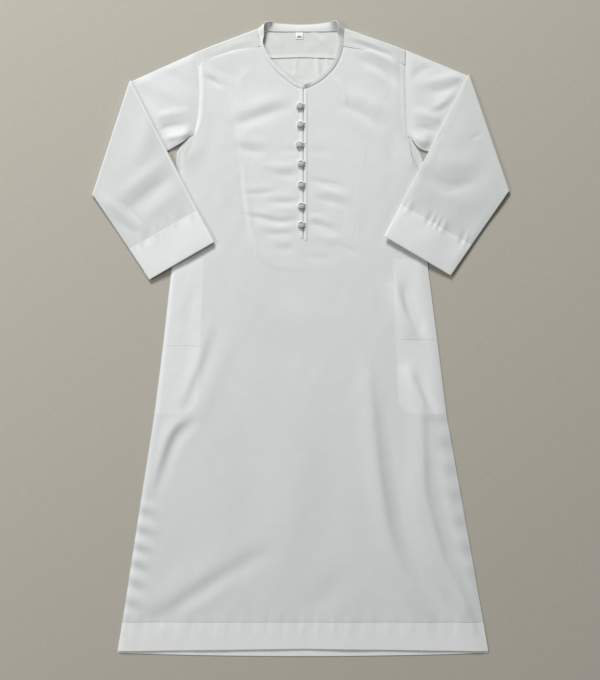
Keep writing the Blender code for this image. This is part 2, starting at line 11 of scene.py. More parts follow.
import bmesh
import bpy
import numpy as np
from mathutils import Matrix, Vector


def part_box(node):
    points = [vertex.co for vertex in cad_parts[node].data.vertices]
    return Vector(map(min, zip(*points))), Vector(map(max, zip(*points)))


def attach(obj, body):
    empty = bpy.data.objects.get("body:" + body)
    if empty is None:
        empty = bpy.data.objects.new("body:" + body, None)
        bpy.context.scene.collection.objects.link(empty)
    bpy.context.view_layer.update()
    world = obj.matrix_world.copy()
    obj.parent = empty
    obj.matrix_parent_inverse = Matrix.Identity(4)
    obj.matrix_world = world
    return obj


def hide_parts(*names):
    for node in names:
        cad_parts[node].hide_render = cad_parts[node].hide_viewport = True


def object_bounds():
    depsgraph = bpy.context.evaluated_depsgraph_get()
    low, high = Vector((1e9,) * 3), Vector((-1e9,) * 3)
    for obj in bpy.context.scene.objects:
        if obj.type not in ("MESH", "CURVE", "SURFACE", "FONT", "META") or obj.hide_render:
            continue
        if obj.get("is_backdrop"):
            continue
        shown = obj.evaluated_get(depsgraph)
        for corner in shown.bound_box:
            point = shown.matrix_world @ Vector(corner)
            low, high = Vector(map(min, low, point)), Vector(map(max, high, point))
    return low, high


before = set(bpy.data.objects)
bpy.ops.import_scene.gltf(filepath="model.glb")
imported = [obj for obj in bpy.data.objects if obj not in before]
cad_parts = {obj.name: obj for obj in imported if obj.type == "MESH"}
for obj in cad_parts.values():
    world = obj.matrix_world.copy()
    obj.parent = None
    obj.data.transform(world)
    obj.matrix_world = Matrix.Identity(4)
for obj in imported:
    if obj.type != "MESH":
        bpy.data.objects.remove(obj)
cad_low, cad_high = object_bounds()
print("solid model, mm:", [round(side * 1000) for side in cad_high - cad_low], "nodes:", len(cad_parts))

# %% [markdown]
# ## The cut
# A tailor starts from the pattern. The outlines below are the robe's own, in millimetres, and they are
# the ones that the solid model was made with. Each is a short table, and everything between its rows is
# read off on a curve. The heights of the layers come from the solid model itself.

# %% The outlines and the layers' heights
MM = 0.001
BODY_EDGE = np.array([
    # y, left x, right x: up the side seams and round the armholes
    (-697.0, -403.9, 412.8),
    (-622.0, -392.3, 401.0),
    (-400.0, -358.6, 361.6),
    (-176.0, -323.4, 321.6),
    (-15.0, -303.0, 301.4),
    (150.0, -284.7, 279.8),
    (300.0, -272.0, 272.5),
    (374.0, -268.4, 267.3),
    (404.0, -266.4, 255.0),
    (428.0, -257.0, 243.5),
    (444.4, -243.1, 237.6),
    (465.0, -232.0, 233.0),
    (490.0, -225.5, 230.5),
    (540.0, -222.5, 229.0),
    (600.0, -224.5, 228.3),
    (640.0, -229.0, 228.8),
])
NECKLINE = np.array([
    # y, left x, right x: from the top of the slit to the yoke's front seams
    (549.0, 4.9, 6.5),
    (556.0, -14.0, 24.0),
    (570.0, -33.0, 48.0),
    (592.0, -59.0, 71.0),
    (616.0, -77.0, 85.0),
    (642.0, -88.0, 92.5),
])
SLIT_X, SLIT_HALF, SLIT_END_Y = 5.7, 0.8, 215.6
HEM_SEAM_Y = -622.0
CLOTH, DOUBLE = 0.8, 1.4          # one layer of cloth and two, as drawn
BACK_TOP, FRONT_TOP = 0.9, 5.0    # the tops of the two panels, away from their edges
FRONT_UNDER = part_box("front_panel")[0].z / MM
FOREARM_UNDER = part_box("cuff_left")[0].z / MM
SIDE_TOP, HEM_TOP = FRONT_UNDER + 0.45, FRONT_UNDER + 1.6   # the front's top at the side seams and at the hem
EDGE_TOP = np.array([
    # y, the front's top along its side edges
    (-700.0, HEM_TOP),
    (-621.0, HEM_TOP),
    (-590.0, SIDE_TOP),
    (444.0, SIDE_TOP),
    (490.0, HEM_TOP),
    (700.0, HEM_TOP),
])
EDGE_ROLL = (9.0, 24.0)           # width in which the front rolls down to its left and to its right edge
print("front's edge", round(SIDE_TOP, 2), "middle", FRONT_TOP, "forearm", round(FOREARM_UNDER, 2), "mm up")

# %% [markdown]
# ## Reading a pattern
# A cutter draws a smooth line through the marks of a pattern. The helpers below read a table in the same
# way: they give a value anywhere between its rows, mix two values, and fade one thing into another
# without a hard step.

# %% Reading a table
def read_off(table, value, column, soften=0.0):
    """A table's value between its rows, rounded off over a short stretch where soften is given."""
    if not soften:
        return np.interp(value, table[:, 0], table[:, column])
    shifts = (-1.0, -0.5, 0.0, 0.5, 1.0)
    readings = [np.interp(value + soften * shift, table[:, 0], table[:, column]) for shift in shifts]
    return sum(readings) / len(shifts)


def between(a, b, share):
    return a + (b - a) * share


def smooth(share):
    share = np.clip(share, 0.0, 1.0)
    return share * share * (3.0 - 2.0 * share)


def edge_x(side, y):
    """The body's outline: side is -1 for the left edge and 1 for the right one, here and everywhere below."""
    return read_off(BODY_EDGE, y, 1 if side < 0 else 2, soften=8.0)


def from_sides(x, y):
    """The distance in from the nearer side edge."""
    return np.minimum(x - edge_x(-1, y), edge_x(1, y) - x)


print("the hem is", round(float(edge_x(1, HEM_SEAM_Y) - edge_x(-1, HEM_SEAM_Y))), "mm wide at its seam")

# %% [markdown]
# ## Creases
# Cloth that is laid by hand keeps soft troughs and ridges. Each one here is a line with a width and a
# height, bell shaped across it and fading out at both ends. A few long waves under them keep any stretch
# from looking ironed flat by a machine. Placing the folds one by one, in the robe's own sizes, gives the
# same result on every run.

# %% Distances, waves and creases
def curve_through(points, steps=8):
    """A smooth line through a few points (Catmull-Rom)."""
    points = np.asarray(points, float)
    ends = np.vstack([2 * points[0] - points[1], points, 2 * points[-1] - points[-2]])
    line = []
    for a, b, c, d in zip(ends, ends[1:], ends[2:], ends[3:]):
        for t in np.arange(steps) / steps:
            line.append(0.5 * (2 * b + (c - a) * t + (2 * a - 5 * b + 4 * c - d) * t**2
                               + (3 * b - a - 3 * c + d) * t**3))
    return np.vstack(line + [points[-1]])


def distance_to(x, y, line):
    """How far each point is from a line, signed by its side, and how far along the line that is (0 to 1)."""
    best = np.full(np.shape(x), 1e9)
    signed, along = np.zeros(np.shape(x)), np.zeros(np.shape(x))
    count = len(line) - 1
    for index, (a, b) in enumerate(zip(line, line[1:])):
        run = b - a
        share = np.clip(((x - a[0]) * run[0] + (y - a[1]) * run[1]) / max(run @ run, 1e-9), 0.0, 1.0)
        gap_x, gap_y = x - a[0] - share * run[0], y - a[1] - share * run[1]
        gap = np.hypot(gap_x, gap_y)
        nearer = gap < best
        best = np.where(nearer, gap, best)
        signed = np.where(nearer, np.sign(run[0] * gap_y - run[1] * gap_x) * gap, signed)
        along = np.where(nearer, (index + share) / count, along)
    return signed, along


def creases(x, y, table):
    """The summed height of a table of creases. Each row is (points, half width, height, lean). The lean
    widens or narrows the side on the left of the crease's way, so that one flank is the steeper one."""
    height = np.zeros(np.shape(x))
    for points, half_width, rise, lean in table:
        reach = 3.0 * half_width * max(lean, 1.0)
        xs, ys = [p[0] for p in points], [p[1] for p in points]
        near = (x > min(xs) - reach) & (x < max(xs) + reach)
        near &= (y > min(ys) - reach) & (y < max(ys) + reach)
        if not near.any():
            continue
        away, along = distance_to(x[near], y[near], curve_through(points))
        fade = np.sin(np.pi * np.clip(along * 0.96 + 0.02, 0.0, 1.0)) ** 0.7
        wide = half_width * np.where(away > 0, lean, 1.0)
        height[near] += rise * fade * np.exp(-((away / wide) ** 2))
    return height


def waves(x, y, length_x, length_y, seed, count=7):
    """Smooth unevenness from a few crossing waves, about 1 high at most."""
    chance = np.random.default_rng(seed)
    total = np.zeros(np.shape(x))
    for _ in range(count):
        turns_x = chance.uniform(0.5, 1.4) * chance.choice((-1, 1)) / length_x
        turns_y = chance.uniform(0.5, 1.4) / length_y
        total += np.sin(2 * np.pi * (turns_x * x + turns_y * y) + chance.uniform(0, 2 * np.pi))
    return total / (1.5 * math.sqrt(count))


def inside(x, y, outline):
    """True for points inside a closed outline."""
    result = np.zeros(np.shape(x), bool)
    for (ax, ay), (bx, by) in zip(outline, np.roll(outline, -1, axis=0)):
        crosses = (ay > y) != (by > y)
        result ^= crosses & (x < (bx - ax) * (y - ay) / (by - ay + 1e-12) + ax)
    return result


bend = curve_through([(0, 0), (40, 10), (80, 0)])
print("a test curve through 3 points has", len(bend), "points")

# %% [markdown]
# ## Shader maths
# A finish is mostly arithmetic on the surface's coordinates: lines of stitches, threads of a weave. A
# small class wraps a socket, so that the maths can be written as plain expressions and each one adds its
# own Math node.

# %% A socket with operators, and one method for every other node
def math_method(operation, reflected=False):
    """A method that adds one Math node. A reflected one puts the other value first, as 1 - mask needs."""
    def method(self, *others):
        values = [*others, self] if reflected else [self, *others]
        return self.shade.node("ShaderNodeMath", {"operation": operation}, values)
    return method


class Value:
    """A node's output socket, on which Python's own operators work."""
    __add__ = __radd__ = math_method("ADD")
    __sub__ = math_method("SUBTRACT")
    __rsub__ = math_method("SUBTRACT", reflected=True)
    __mul__ = __rmul__ = math_method("MULTIPLY")
    __truediv__ = math_method("DIVIDE")
    less = math_method("LESS_THAN")
    more = math_method("GREATER_THAN")
    sine = math_method("SINE")
    size = math_method("ABSOLUTE")
    at_least = math_method("MAXIMUM")
    at_most = math_method("MINIMUM")

    def __init__(self, shade, socket):
        self.shade = shade
        self.socket = socket

    def band(self, middle, half, soft):
        """1 within half of the middle, falling to 0 over the soft edge."""
        sockets = {"Value": (self - middle).size(), "From Min": half + soft, "From Max": half,
                   "To Min": 0.0, "To Max": 1.0}
        settings = {"interpolation_type": "SMOOTHSTEP", "clamp": True}
        return self.shade.node("ShaderNodeMapRange", settings, sockets)


class Shade:
    """One material and the method that adds its nodes."""

    def __init__(self, name):
        self.material = bpy.data.materials.new(name)
        self.material.use_nodes = True
        self.tree = self.material.node_tree
        self.surface = self.tree.nodes["Principled BSDF"]

    def feed(self, socket, value):
        if isinstance(value, Value):
            self.tree.links.new(value.socket, socket)
        else:
            socket.default_value = value

    def node(self, kind, settings=None, sockets=None, output=0):
        made = self.tree.nodes.new(kind)
        for key, value in (settings or {}).items():
            setattr(made, key, value)
        pairs = sockets.items() if isinstance(sockets, dict) else enumerate(sockets or [])
        for key, value in pairs:
            self.feed(made.inputs[key], value)
        return Value(self, made.outputs[output])

    def mix(self, share, first, second):
        """Two colours mixed; the mix node keeps separate sockets for numbers and colours."""
        made = self.tree.nodes.new("ShaderNodeMix")
        made.data_type = "RGBA"
        for index, value in ((0, share), (6, first), (7, second)):
            self.feed(made.inputs[index], value)
        return Value(self, made.outputs[2])

    def noise(self, places, scale, detail):
        return self.node("ShaderNodeTexNoise", {}, {"Vector": places, "Scale": scale, "Detail": detail})

    def attribute(self, name):
        return self.node("ShaderNodeAttribute", {"attribute_name": name}, output="Fac")

    def cover(self, colour, roughness, height, strength, distance):
        """Feeds what varies over the surface: its colour, its roughness and its relief."""
        sockets = {"Strength": strength, "Distance": distance, "Height": height}
        relief = self.node("ShaderNodeBump", {}, sockets)
        for name, value in (("Base Color", colour), ("Roughness", roughness), ("Normal", relief)):
            self.feed(self.surface.inputs[name], value)

    def places(self):
        """The object's own x, y and z in millimetres."""
        coordinates = self.node("ShaderNodeTexCoord", output="Object")
        sockets = {0: coordinates, "Scale": 1.0 / MM}
        scaled = self.node("ShaderNodeVectorMath", {"operation": "SCALE"}, sockets)
        split = self.tree.nodes.new("ShaderNodeSeparateXYZ")
        self.feed(split.inputs[0], scaled)
        return scaled, [Value(self, output) for output in split.outputs]


print("shader helpers ready")

# %% [markdown]
# ## The cloth's finish
# The robe is a smooth white suiting: a fine twill with a faint sheen, a little whiter wherever it lies
# double. Its stitched lines are rows of 3 mm stitches in white thread, with a faint line of painted shade
# in the groove beside them, and each sewn join is a fine line of painted shade. Painted shade darkens the
# folded forearms, a painted highlight runs along the left forearm's inner edge, and the satin stitching
# is lightened a little as painted sheen. The distance from each seam is stored on the mesh, because a
# distance changes evenly over a face, so the shader can draw a thin, sharp line from it at any zoom.


# %% Weave, stitches and tone
TWILL_PITCH = 0.9        # mm between the twill's diagonal ribs
STITCH = 3.0             # mm from one stitch to the next
ARC_SPACING = 6.4        # mm between the rows of satin stitching on the chest
# the cloth's white, and a whiter tone where it lies double, which also serves for the painted highlight
WHITE, DOUBLE_AND_HIGHLIGHT_WHITE = (0.685, 0.715, 0.712), (0.80, 0.82, 0.812)
UNEVEN = (0.50, 0.53, 0.52, 1.0)         # greyer in the yarn's slubs and in broad soft patches
FOREARM_PAINTED_SHADE = (0.30, 0.32, 0.30, 1.0)      # painted shade: the folded forearms are drawn a little darker
# painted shade in the fine line where two pieces are sewn together
SEAM_LINE_SHADE = (0.36, 0.38, 0.37, 1.0)
# painted shade in the small groove that a row of stitches presses in
STITCH_GROOVE_SHADE = (0.42, 0.44, 0.43, 1.0)
THREAD = (0.88, 0.89, 0.88, 1.0)
# the satin thread's own white, lightened a little more as painted sheen
SATIN_THREAD_AND_SHEEN = (0.95, 0.95, 0.94, 1.0)


class Cloth(Shade):
    """The robe's cloth: a twill, to which a piece adds stitched lines, sewn joins, areas that lie in two
    layers, painted shade and a painted highlight.
    """

    def __init__(self, name, tone=WHITE, double_and_highlight_tone=DOUBLE_AND_HIGHLIGHT_WHITE):
        super().__init__(name)
        self.scaled, (self.x, self.y, _) = self.places()
        self.near = self.thread = self.join = self.double_and_highlight_mask = self.forearm_painted_shade = None
        self.tone, self.double_and_highlight_tone = tone, double_and_highlight_tone
        self.slant = 0.93

    def most(self, old, new):
        """The greater of two masks, where there may be no old one."""
        return new if old is None else old.at_least(new)

    def stitched(self, distance, *lines, where=None):
        """Rows of stitches at these distances from a seam, in mm, with a faint painted shade in the groove
        along them.
        """
        dashes = ((self.x + self.y * self.slant) * (2 * math.pi / STITCH)).sine().more(-0.5)
        for line in lines:
            here = distance.band(line, 0.3, 0.35)
            here = here if where is None else here * where
            self.near = self.most(self.near, here)
            self.thread = self.most(self.thread, here * dashes)

    def shade_seam_line(self, distance, where=None):
        """A fine line of painted shade along which two pieces are sewn together."""
        here = distance.band(0.0, 0.4, 1.0)
        self.join = self.most(self.join, here if where is None else here * where)

    def whiten_double_and_highlight(self, mask):
        """Where the cloth lies in two layers and so looks whiter; it also carries the painted highlight."""
        self.double_and_highlight_mask = self.most(self.double_and_highlight_mask, mask)

    def turned(self, mask):
        """Painted shade: the cloth under this mask, the folded sleeve's forearm, is drawn a little darker."""
        self.forearm_painted_shade = mask

    def finish(self, roughness=0.6, satin=None):
        ribs = ((self.x + self.y) * (2 * math.pi / TWILL_PITCH)).sine()
        slub = self.noise(self.scaled, 0.05, 4.0)
        cloudy = self.noise(self.scaled, 0.007, 2.0)
        colour = (*self.tone, 1.0)
        # whiter where the cloth lies double, and where the painted highlight is drawn
        if self.double_and_highlight_mask:
            colour = self.mix(self.double_and_highlight_mask, colour, (*self.double_and_highlight_tone, 1.0))
        # painted shade over the forearms
        if self.forearm_painted_shade:
            colour = self.mix(self.forearm_painted_shade * 0.13, colour, FOREARM_PAINTED_SHADE)
        uneven = ((slub - 0.5) * 0.22 + (cloudy - 0.5) * 0.16 + 0.04).at_least(0.0)
        colour = self.mix(uneven, colour, UNEVEN)
        height = ribs * 0.03 + slub * 0.06
        # painted shade along each sewn join, over a shallow groove
        if self.join:
            colour = self.mix(self.join * 0.4, colour, SEAM_LINE_SHADE)
            height = height - self.join * 0.3
        if self.thread:
            # painted shade along each stitched row's groove, then the thread itself
            colour = self.mix(self.near * 0.14, colour, STITCH_GROOVE_SHADE)
            colour = self.mix(self.thread * 0.6, colour, THREAD)
            height = height + self.thread * 0.2 - self.near * 0.14
        gloss = slub * 0.1 + (roughness - 0.05)
        if satin:
            twist = (self.y * (2 * math.pi / 1.1)).sine()
            # whiter satin thread, lightened a little more as painted sheen, with less roughness
            colour = self.mix(satin * 0.34, colour, SATIN_THREAD_AND_SHEEN)
            gloss = gloss - satin * 0.28
            height = height + satin * (twist * 0.05 + 0.28)
        self.cover(colour, gloss, height, 0.8, MM)
        self.surface.inputs["Sheen Weight"].default_value = 0.2
        self.surface.inputs["Sheen Roughness"].default_value = 0.4
        self.surface.inputs["Specular IOR Level"].default_value = 0.35
        return self.material


print("twill ribs to the centimetre:", round(10.0 / TWILL_PITCH, 1), "and stitches:", round(10.0 / STITCH, 1))

# %% [markdown]
# ## A sheet of cloth
# Every panel starts as a flat grid, like cloth on the cutting table. Its points are then carried to where
# that panel lies, and a Solidify modifier gives it thickness.


# %% The sheet maker
def select(*pieces):
    """Selects these objects and nothing else. The first becomes the active one."""
    bpy.ops.object.select_all(action="DESELECT")
    for piece in pieces:
        piece.select_set(True)
    if pieces:
        bpy.context.view_layer.objects.active = pieces[0]


def grid(name, columns, rows, place):
    """A primitive grid whose points are carried to place(u, v), with u and v from 0 to 1. place gives x, y
    and z in mm, and may add a dictionary of the distances to store on the mesh."""
    select()
    bpy.ops.mesh.primitive_grid_add(x_subdivisions=columns, y_subdivisions=rows, size=2.0)
    sheet = bpy.context.object
    sheet.name = sheet.data.name = name
    flat = np.zeros(len(sheet.data.vertices) * 3)
    sheet.data.vertices.foreach_get("co", flat)
    flat = flat.reshape(-1, 3)
    x, y, z, *extras = place((flat[:, 0] + 1.0) / 2.0, (flat[:, 1] + 1.0) / 2.0)
    sheet.data.vertices.foreach_set("co", (np.column_stack([x, y, z]) * MM).ravel())
    for key, values in (extras[0] if extras else {}).items():
        layer = sheet.data.attributes.new(key, "FLOAT", "POINT")
        layer.data.foreach_set("value", np.asarray(np.broadcast_to(values, x.shape), np.float32))
    return sheet


def join(name, parts, weld):
    """Joins the parts and merges the points that are closer than weld, in metres."""
    select(*parts)
    bpy.ops.object.join()
    bpy.ops.object.mode_set(mode="EDIT")
    bpy.ops.mesh.select_all(action="SELECT")
    bpy.ops.mesh.remove_doubles(threshold=weld)
    bpy.ops.object.mode_set(mode="OBJECT")
    parts[0].name = parts[0].data.name = name
    return parts[0]


def thicken(sheet, thickness, offset=-1.0):
    """Gives the sheet its wall, and rounds its shading everywhere but at the cut edges."""
    select(sheet)
    wall = sheet.modifiers.new("wall", "SOLIDIFY")
    wall.thickness = thickness * MM
    wall.offset = offset
    bpy.ops.object.modifier_apply(modifier="wall")
    bpy.ops.object.shade_smooth_by_angle(angle=math.radians(50))
    return sheet


def area_of(sheet):
    return sum(face.area for face in sheet.data.polygons)


def dress(piece, material, nodes):
    """Gives a finished piece its material, hangs it on the root and hides the solids it stands for."""
    piece.data.materials.clear()
    piece.data.materials.append(material)
    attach(piece, "root")
    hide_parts(*nodes)


def declare(sheet, material, flat, nodes, area=None):
    """Dresses a sheet, and prints the size it was cut to, its area and how many triangles it has."""
    dress(sheet, material, nodes)
    triangles = sum(len(face.vertices) - 2 for face in sheet.data.polygons)
    cut = f"{area:.3f} m2" if area else "a plain strip"
    print(f"{sheet.name}: cut {flat[0]:.2f} x {flat[1]:.2f} m, {cut}, {triangles} triangles")


def normals_out(sheet):
    """Turns the sheet's faces to point up before it gets its wall."""
    sheet.data.update()
    if sum(face.normal.z * face.area for face in sheet.data.polygons) < 0:
        sheet.data.flip_normals()
    return sheet


print("sheet maker ready: one layer is drawn", CLOTH, "mm thick and two", DOUBLE, "mm")

# %% [markdown]
# ## Where the sleeves lie
# The sleeves are folded over the front, so their corners come first: the front panel has to stay low
# under them.

# %% The laid sleeves' corners
CORNERS = {
    # corner: ((left x, y), (right x, y))
    "shoulder": ((-228.8, 631.4), (228.8, 636.0)),
    "fold_top": ((-376.2, 567.6), (370.7, 580.1)),
    "elbow": ((-459.8, 312.4), (459.8, 321.2)),
    "cuff_outer": ((-332.2, 129.8), (328.7, 139.0)),
    "cuff_inner": ((-189.2, 211.2), (182.2, 223.3)),
    "underarm": ((-243.1, 444.4), (237.6, 444.4)),
}


def corner(name, side):
    return np.array(CORNERS[name][0 if side < 0 else 1])


def under_forearm(x, y):
    """1 under either folded forearm, falling to 0 within 25 mm of it."""
    cover = np.zeros(np.shape(x))
    for side in (-1, 1):
        outline = np.array([corner(name, side) for name in ("fold_top", "elbow", "cuff_outer", "cuff_inner")])
        away, _ = distance_to(x, y, np.vstack([outline, outline[:1]]))
        away = np.where(inside(x, y, outline), 0.0, np.abs(away))
        cover = np.maximum(cover, 1.0 - smooth(away / 25.0))
    return cover


print("from elbow to elbow:", round(CORNERS["elbow"][1][0] - CORNERS["elbow"][0][0], 1), "mm")

# %% [markdown]
# ## Behind the front
# The doubled cloth behind the front shows through it: the chest facing, which is rounded at its foot, and
# the two pocket bags in the side seams. Rows of satin stitching arch down either side of the chest.

# %% What lies behind the front
FACING = np.array([
    # x, y: down its left edge, round its foot and up its right edge
    (-170, 600), (-160, 545), (-140, 460), (-132, 367), (-125.4, 284), (-121, 240), (-116, 206),
    (-99, 182), (-66, 161), (-36, 153), (2, 151), (40, 153), (70, 161), (101, 182),
    (121, 206), (127, 240), (129.5, 284), (134.2, 367), (146, 460), (174, 545), (188, 600)], float)
POCKETS = {
    # side: x, y down the inner edge, along the foot and up the side seam
    -1: np.array([(-214, 176), (-218, 60), (-222, -60), (-226, -138), (-240, -158), (-262, -164),
                  (-318, -164), (-300, 0), (-284, 176)], float),
    1: np.array([(202, 176), (206, 60), (211, -60), (214.5, -140), (228, -159), (250, -165),
                 (314, -165), (298, 0), (282, 176)], float),
}
ARCS = {
    # side: x, y down the middle of the rows of satin stitching
    -1: [(-168, 590), (-146, 540), (-131, 512), (-114, 460), (-104, 420), (-98.5, 372), (-100, 300),
         (-108, 230)],
    1: [(202, 566), (182, 546), (162, 519), (149, 490), (139, 455), (129, 410), (124, 385), (117, 340),
        (113, 300), (108, 260), (100, 208)],
}
ARC_RUNS = {
    # stretches of each arc, as heights, that carry the satin stitching
    -1: ((497, 526), (447, 473), (347, 399)),
    1: ((505, 541), (455, 484), (382, 408), (292, 362), (208, 284)),
}
POCKET_SEAMS = {-1: -15.4, 1: -2.0}     # side: height of the seam across the bag


def distance_inside(x, y, outline):
    """Distance from an outline, above 0 inside it and below 0 outside."""
    away, _ = distance_to(x, y, np.vstack([outline, outline[:1]]))
    return np.where(inside(x, y, outline), 1.0, -1.0) * np.abs(away)


print("facing:", round(np.ptp(FACING[:, 0])), "x", round(np.ptp(FACING[:, 1])), "mm")

# %% [markdown]
# ## The front panel
# One piece of cloth from the yoke to the hem, cut down the middle of the chest for the slit. It is pulled
# smooth over the chest, ripples where the doubled facing behind it is stiffer than it is, and falls into
# long soft troughs in the skirt. A grid for each half is carried into place and the two are welded below
# the slit.

# %% The front's creases
CHEST_CREASES = [
    # points, half width, height, lean
    ([(-150, 471), (-117, 479), (-68, 497), (-14, 509)], 12, -1.8, 0.8),
    ([(-150, 493), (-80, 517), (-30, 531)], 12, 1.8, 1.5),
    ([(-150, 455), (-90, 463), (-40, 467)], 16, 0.7, 1.0),
    ([(84, 517), (130, 497), (180, 463)], 11, -1.9, 0.8),
    ([(100, 543), (150, 519), (200, 487)], 12, 1.9, 1.4),
    ([(66, 575), (84, 559), (96, 535), (98, 513)], 5, 1.2, 1.0),
    ([(-142, 423), (-110, 413), (-76, 409)], 9, -1.6, 0.8),
    ([(-150, 443), (-110, 434), (-64, 431)], 9, 1.4, 1.6),
    ([(-44, 417), (-20, 414), (-4, 417)], 7, -1.0, 0.9),
    ([(-90, 381), (-40, 377), (-6, 382)], 7, 1.6, 1.3),
    ([(-64, 362), (-24, 359), (-4, 363)], 7, -1.2, 0.8),
    ([(-130, 319), (-90, 320), (-56, 323)], 5, -1.0, 0.8),
    ([(-130, 331), (-90, 333), (-60, 335)], 7, 0.7, 1.5),
    ([(-72, 303), (-36, 300), (-4, 302)], 6, -1.1, 0.8),
    ([(-74, 315), (-36, 313), (-4, 314)], 7, 0.8, 1.4),
    ([(-80, 283), (-30, 285), (-4, 283)], 7, 1.1, 1.2),
    ([(-124, 273), (-84, 265), (-44, 257), (-4, 263)], 6, -1.5, 0.8),
    ([(-124, 283), (-84, 276), (-44, 270), (-4, 275)], 6, 1.0, 1.4),
    ([(-100, 249), (-50, 244), (-12, 246)], 8, 1.0, 1.0),
    ([(-84, 231), (-50, 231), (-20, 233)], 6, -1.0, 0.8),
    ([(-64, 203), (-36, 199), (-16, 201)], 7, -1.1, 0.8),
    ([(-60, 215), (-36, 212), (-16, 213)], 7, 0.8, 1.2),
    ([(16, 351), (50, 343), (98, 333)], 7, -1.4, 0.8),
    ([(40, 327), (70, 321), (108, 307)], 8, 1.8, 1.2),
    ([(30, 311), (60, 303), (102, 293)], 7, -1.2, 0.8),
    ([(14, 278), (44, 276)], 4, -0.8, 0.8),
    ([(14, 255), (40, 251), (78, 237)], 8, -1.5, 0.8),
    ([(14, 267), (40, 264), (78, 251)], 8, 1.0, 1.3),
    ([(20, 231), (60, 221), (92, 219)], 9, 1.2, 1.0),
    ([(14, 181), (40, 179), (64, 175)], 6, -1.1, 0.8),
    ([(94, 205), (112, 194), (124, 189)], 5, -1.5, 0.8),
    ([(18, 415), (40, 413), (64, 409)], 9, -0.9, 0.8),
    ([(20, 463), (60, 467), (110, 455)], 22, -0.5, 1.0),
    ([(112, 463), (140, 433), (160, 385)], 12, -1.0, 1.0),
    ([(-134, 392), (-131, 340), (-124, 290), (-117, 245), (-103, 195), (-80, 168)], 4.5, -1.0, 1.0),
    ([(-125, 385), (-122, 335), (-115, 285), (-108, 240), (-95, 200), (-74, 178)], 5, 0.9, 1.0),
    ([(-218, 579), (-196, 568), (-170, 553)], 6, -2.0, 0.8),
    ([(-216, 591), (-190, 580), (-160, 567)], 6, 1.0, 1.5),
    ([(-190, 583), (-160, 581), (-120, 563)], 12, -0.7, 1.0),
    ([(-108, 593), (-128, 573), (-130, 549)], 9, 0.8, 1.0),
    ([(140, 597), (166, 581), (186, 559)], 11, 1.2, 1.0),
    ([(-206, 493), (-192, 463), (-182, 423)], 14, -0.8, 1.0),
    ([(210, 463), (198, 423), (200, 373)], 14, -0.7, 1.0),
    ([(-190, 393), (-170, 343), (-172, 293)], 18, 0.6, 1.0),
    ([(186, 373), (170, 323), (172, 273)], 18, 0.6, 1.0),
    ([(128, 616), (164, 598), (192, 578), (214, 552)], 9, -2.6, 0.9),
    ([(136, 638), (174, 622), (204, 602), (226, 574)], 9, 3.6, 1.2),
    ([(-214, 616), (-150, 628), (-96, 636)], 26, 1.6, 1.0),
]
SKIRT_CREASES = [
    # points, half width, height, lean
    ([(144, -60), (152, -130), (165, -260), (176, -340), (189, -414), (214, -490), (258, -566),
      (296, -616)], 26, 6.0, 0.5),
    ([(184, -130), (199, -260), (211, -340), (224, -414), (252, -490), (304, -570), (336, -610)],
     14, -2.4, 1.0),
    ([(240, -260), (258, -400), (284, -490), (318, -575)], 13, 1.8, 1.0),
    ([(256, -90), (264, -180), (270, -332), (290, -414), (308, -477), (336, -540), (368, -610),
      (384, -656)], 26, 6.0, 0.45),
    ([(296, -190), (305, -332), (325, -414), (344, -480), (390, -608), (404, -650)], 12, -2.4, 1.0),
    ([(230, -56), (244, -92), (262, -130), (288, -178)], 18, 5.8, 0.55),
    ([(254, -80), (272, -120), (302, -172)], 13, -3.0, 1.0),
    ([(206, 130), (216, 84), (232, 40), (256, 2)], 18, 5.0, 0.55),
    ([(226, 120), (240, 70), (268, 14)], 13, -2.8, 1.0),
    ([(-198, 40), (-222, -40), (-246, -100), (-272, -160)], 15, 1.8, 0.6),
    ([(-180, 30), (-204, -44), (-230, -106), (-256, -160)], 12, -1.0, 1.0),
    ([(-150, 30), (-180, -60), (-216, -150), (-250, -220)], 20, 1.4, 1.0),
    ([(-246, -170), (-280, -196), (-300, -240), (-330, -330)], 16, 3.6, 0.5),
    ([(-224, -176), (-262, -208), (-284, -246), (-314, -336)], 13, -2.6, 1.0),
    ([(-350, -626), (-286, -600), (-231, -558), (-122, -492), (-60, -462)], 22, -2.6, 0.8),
    ([(-352, -590), (-286, -566), (-216, -524), (-120, -460)], 24, 2.0, 1.5),
    ([(-290, -612), (-214, -578), (-140, -520)], 16, 1.2, 1.0),
    ([(-60, 70), (10, 52), (90, 44)], 30, 1.0, 1.0),
    ([(-120, 20), (-40, -30), (60, -40)], 40, -0.9, 1.0),
    ([(-150, -200), (-110, -330), (-120, -450)], 34, -1.2, 1.0),
    ([(40, -160), (60, -330), (50, -480)], 36, -1.1, 1.0),
    ([(-30, -250), (-20, -380), (-40, -560)], 36, 1.2, 1.0),
    ([(100, -500), (60, -560), (0, -600)], 24, -1.2, 1.0),
    ([(226, 140), (240, 80), (276, 10)], 13, -1.6, 1.0),
    ([(-232, 120), (-248, 40), (-246, -60)], 14, -1.0, 1.0),
]


print("chest creases:", len(CHEST_CREASES), "skirt creases:", len(SKIRT_CREASES))

# %% [markdown]
# ## The front's height
# The front's shape is a sum: a base that is level in the middle and rolls down to the side seams, the
# creases, and short cross folds where the seams pull. A function of x and y gives it, so the strips, the
# facing and the pockets can follow the same surface just above or below it.

# %% The front's height at any point
def ripples(distance, length):
    return np.sin(distance * 2 * np.pi / length)


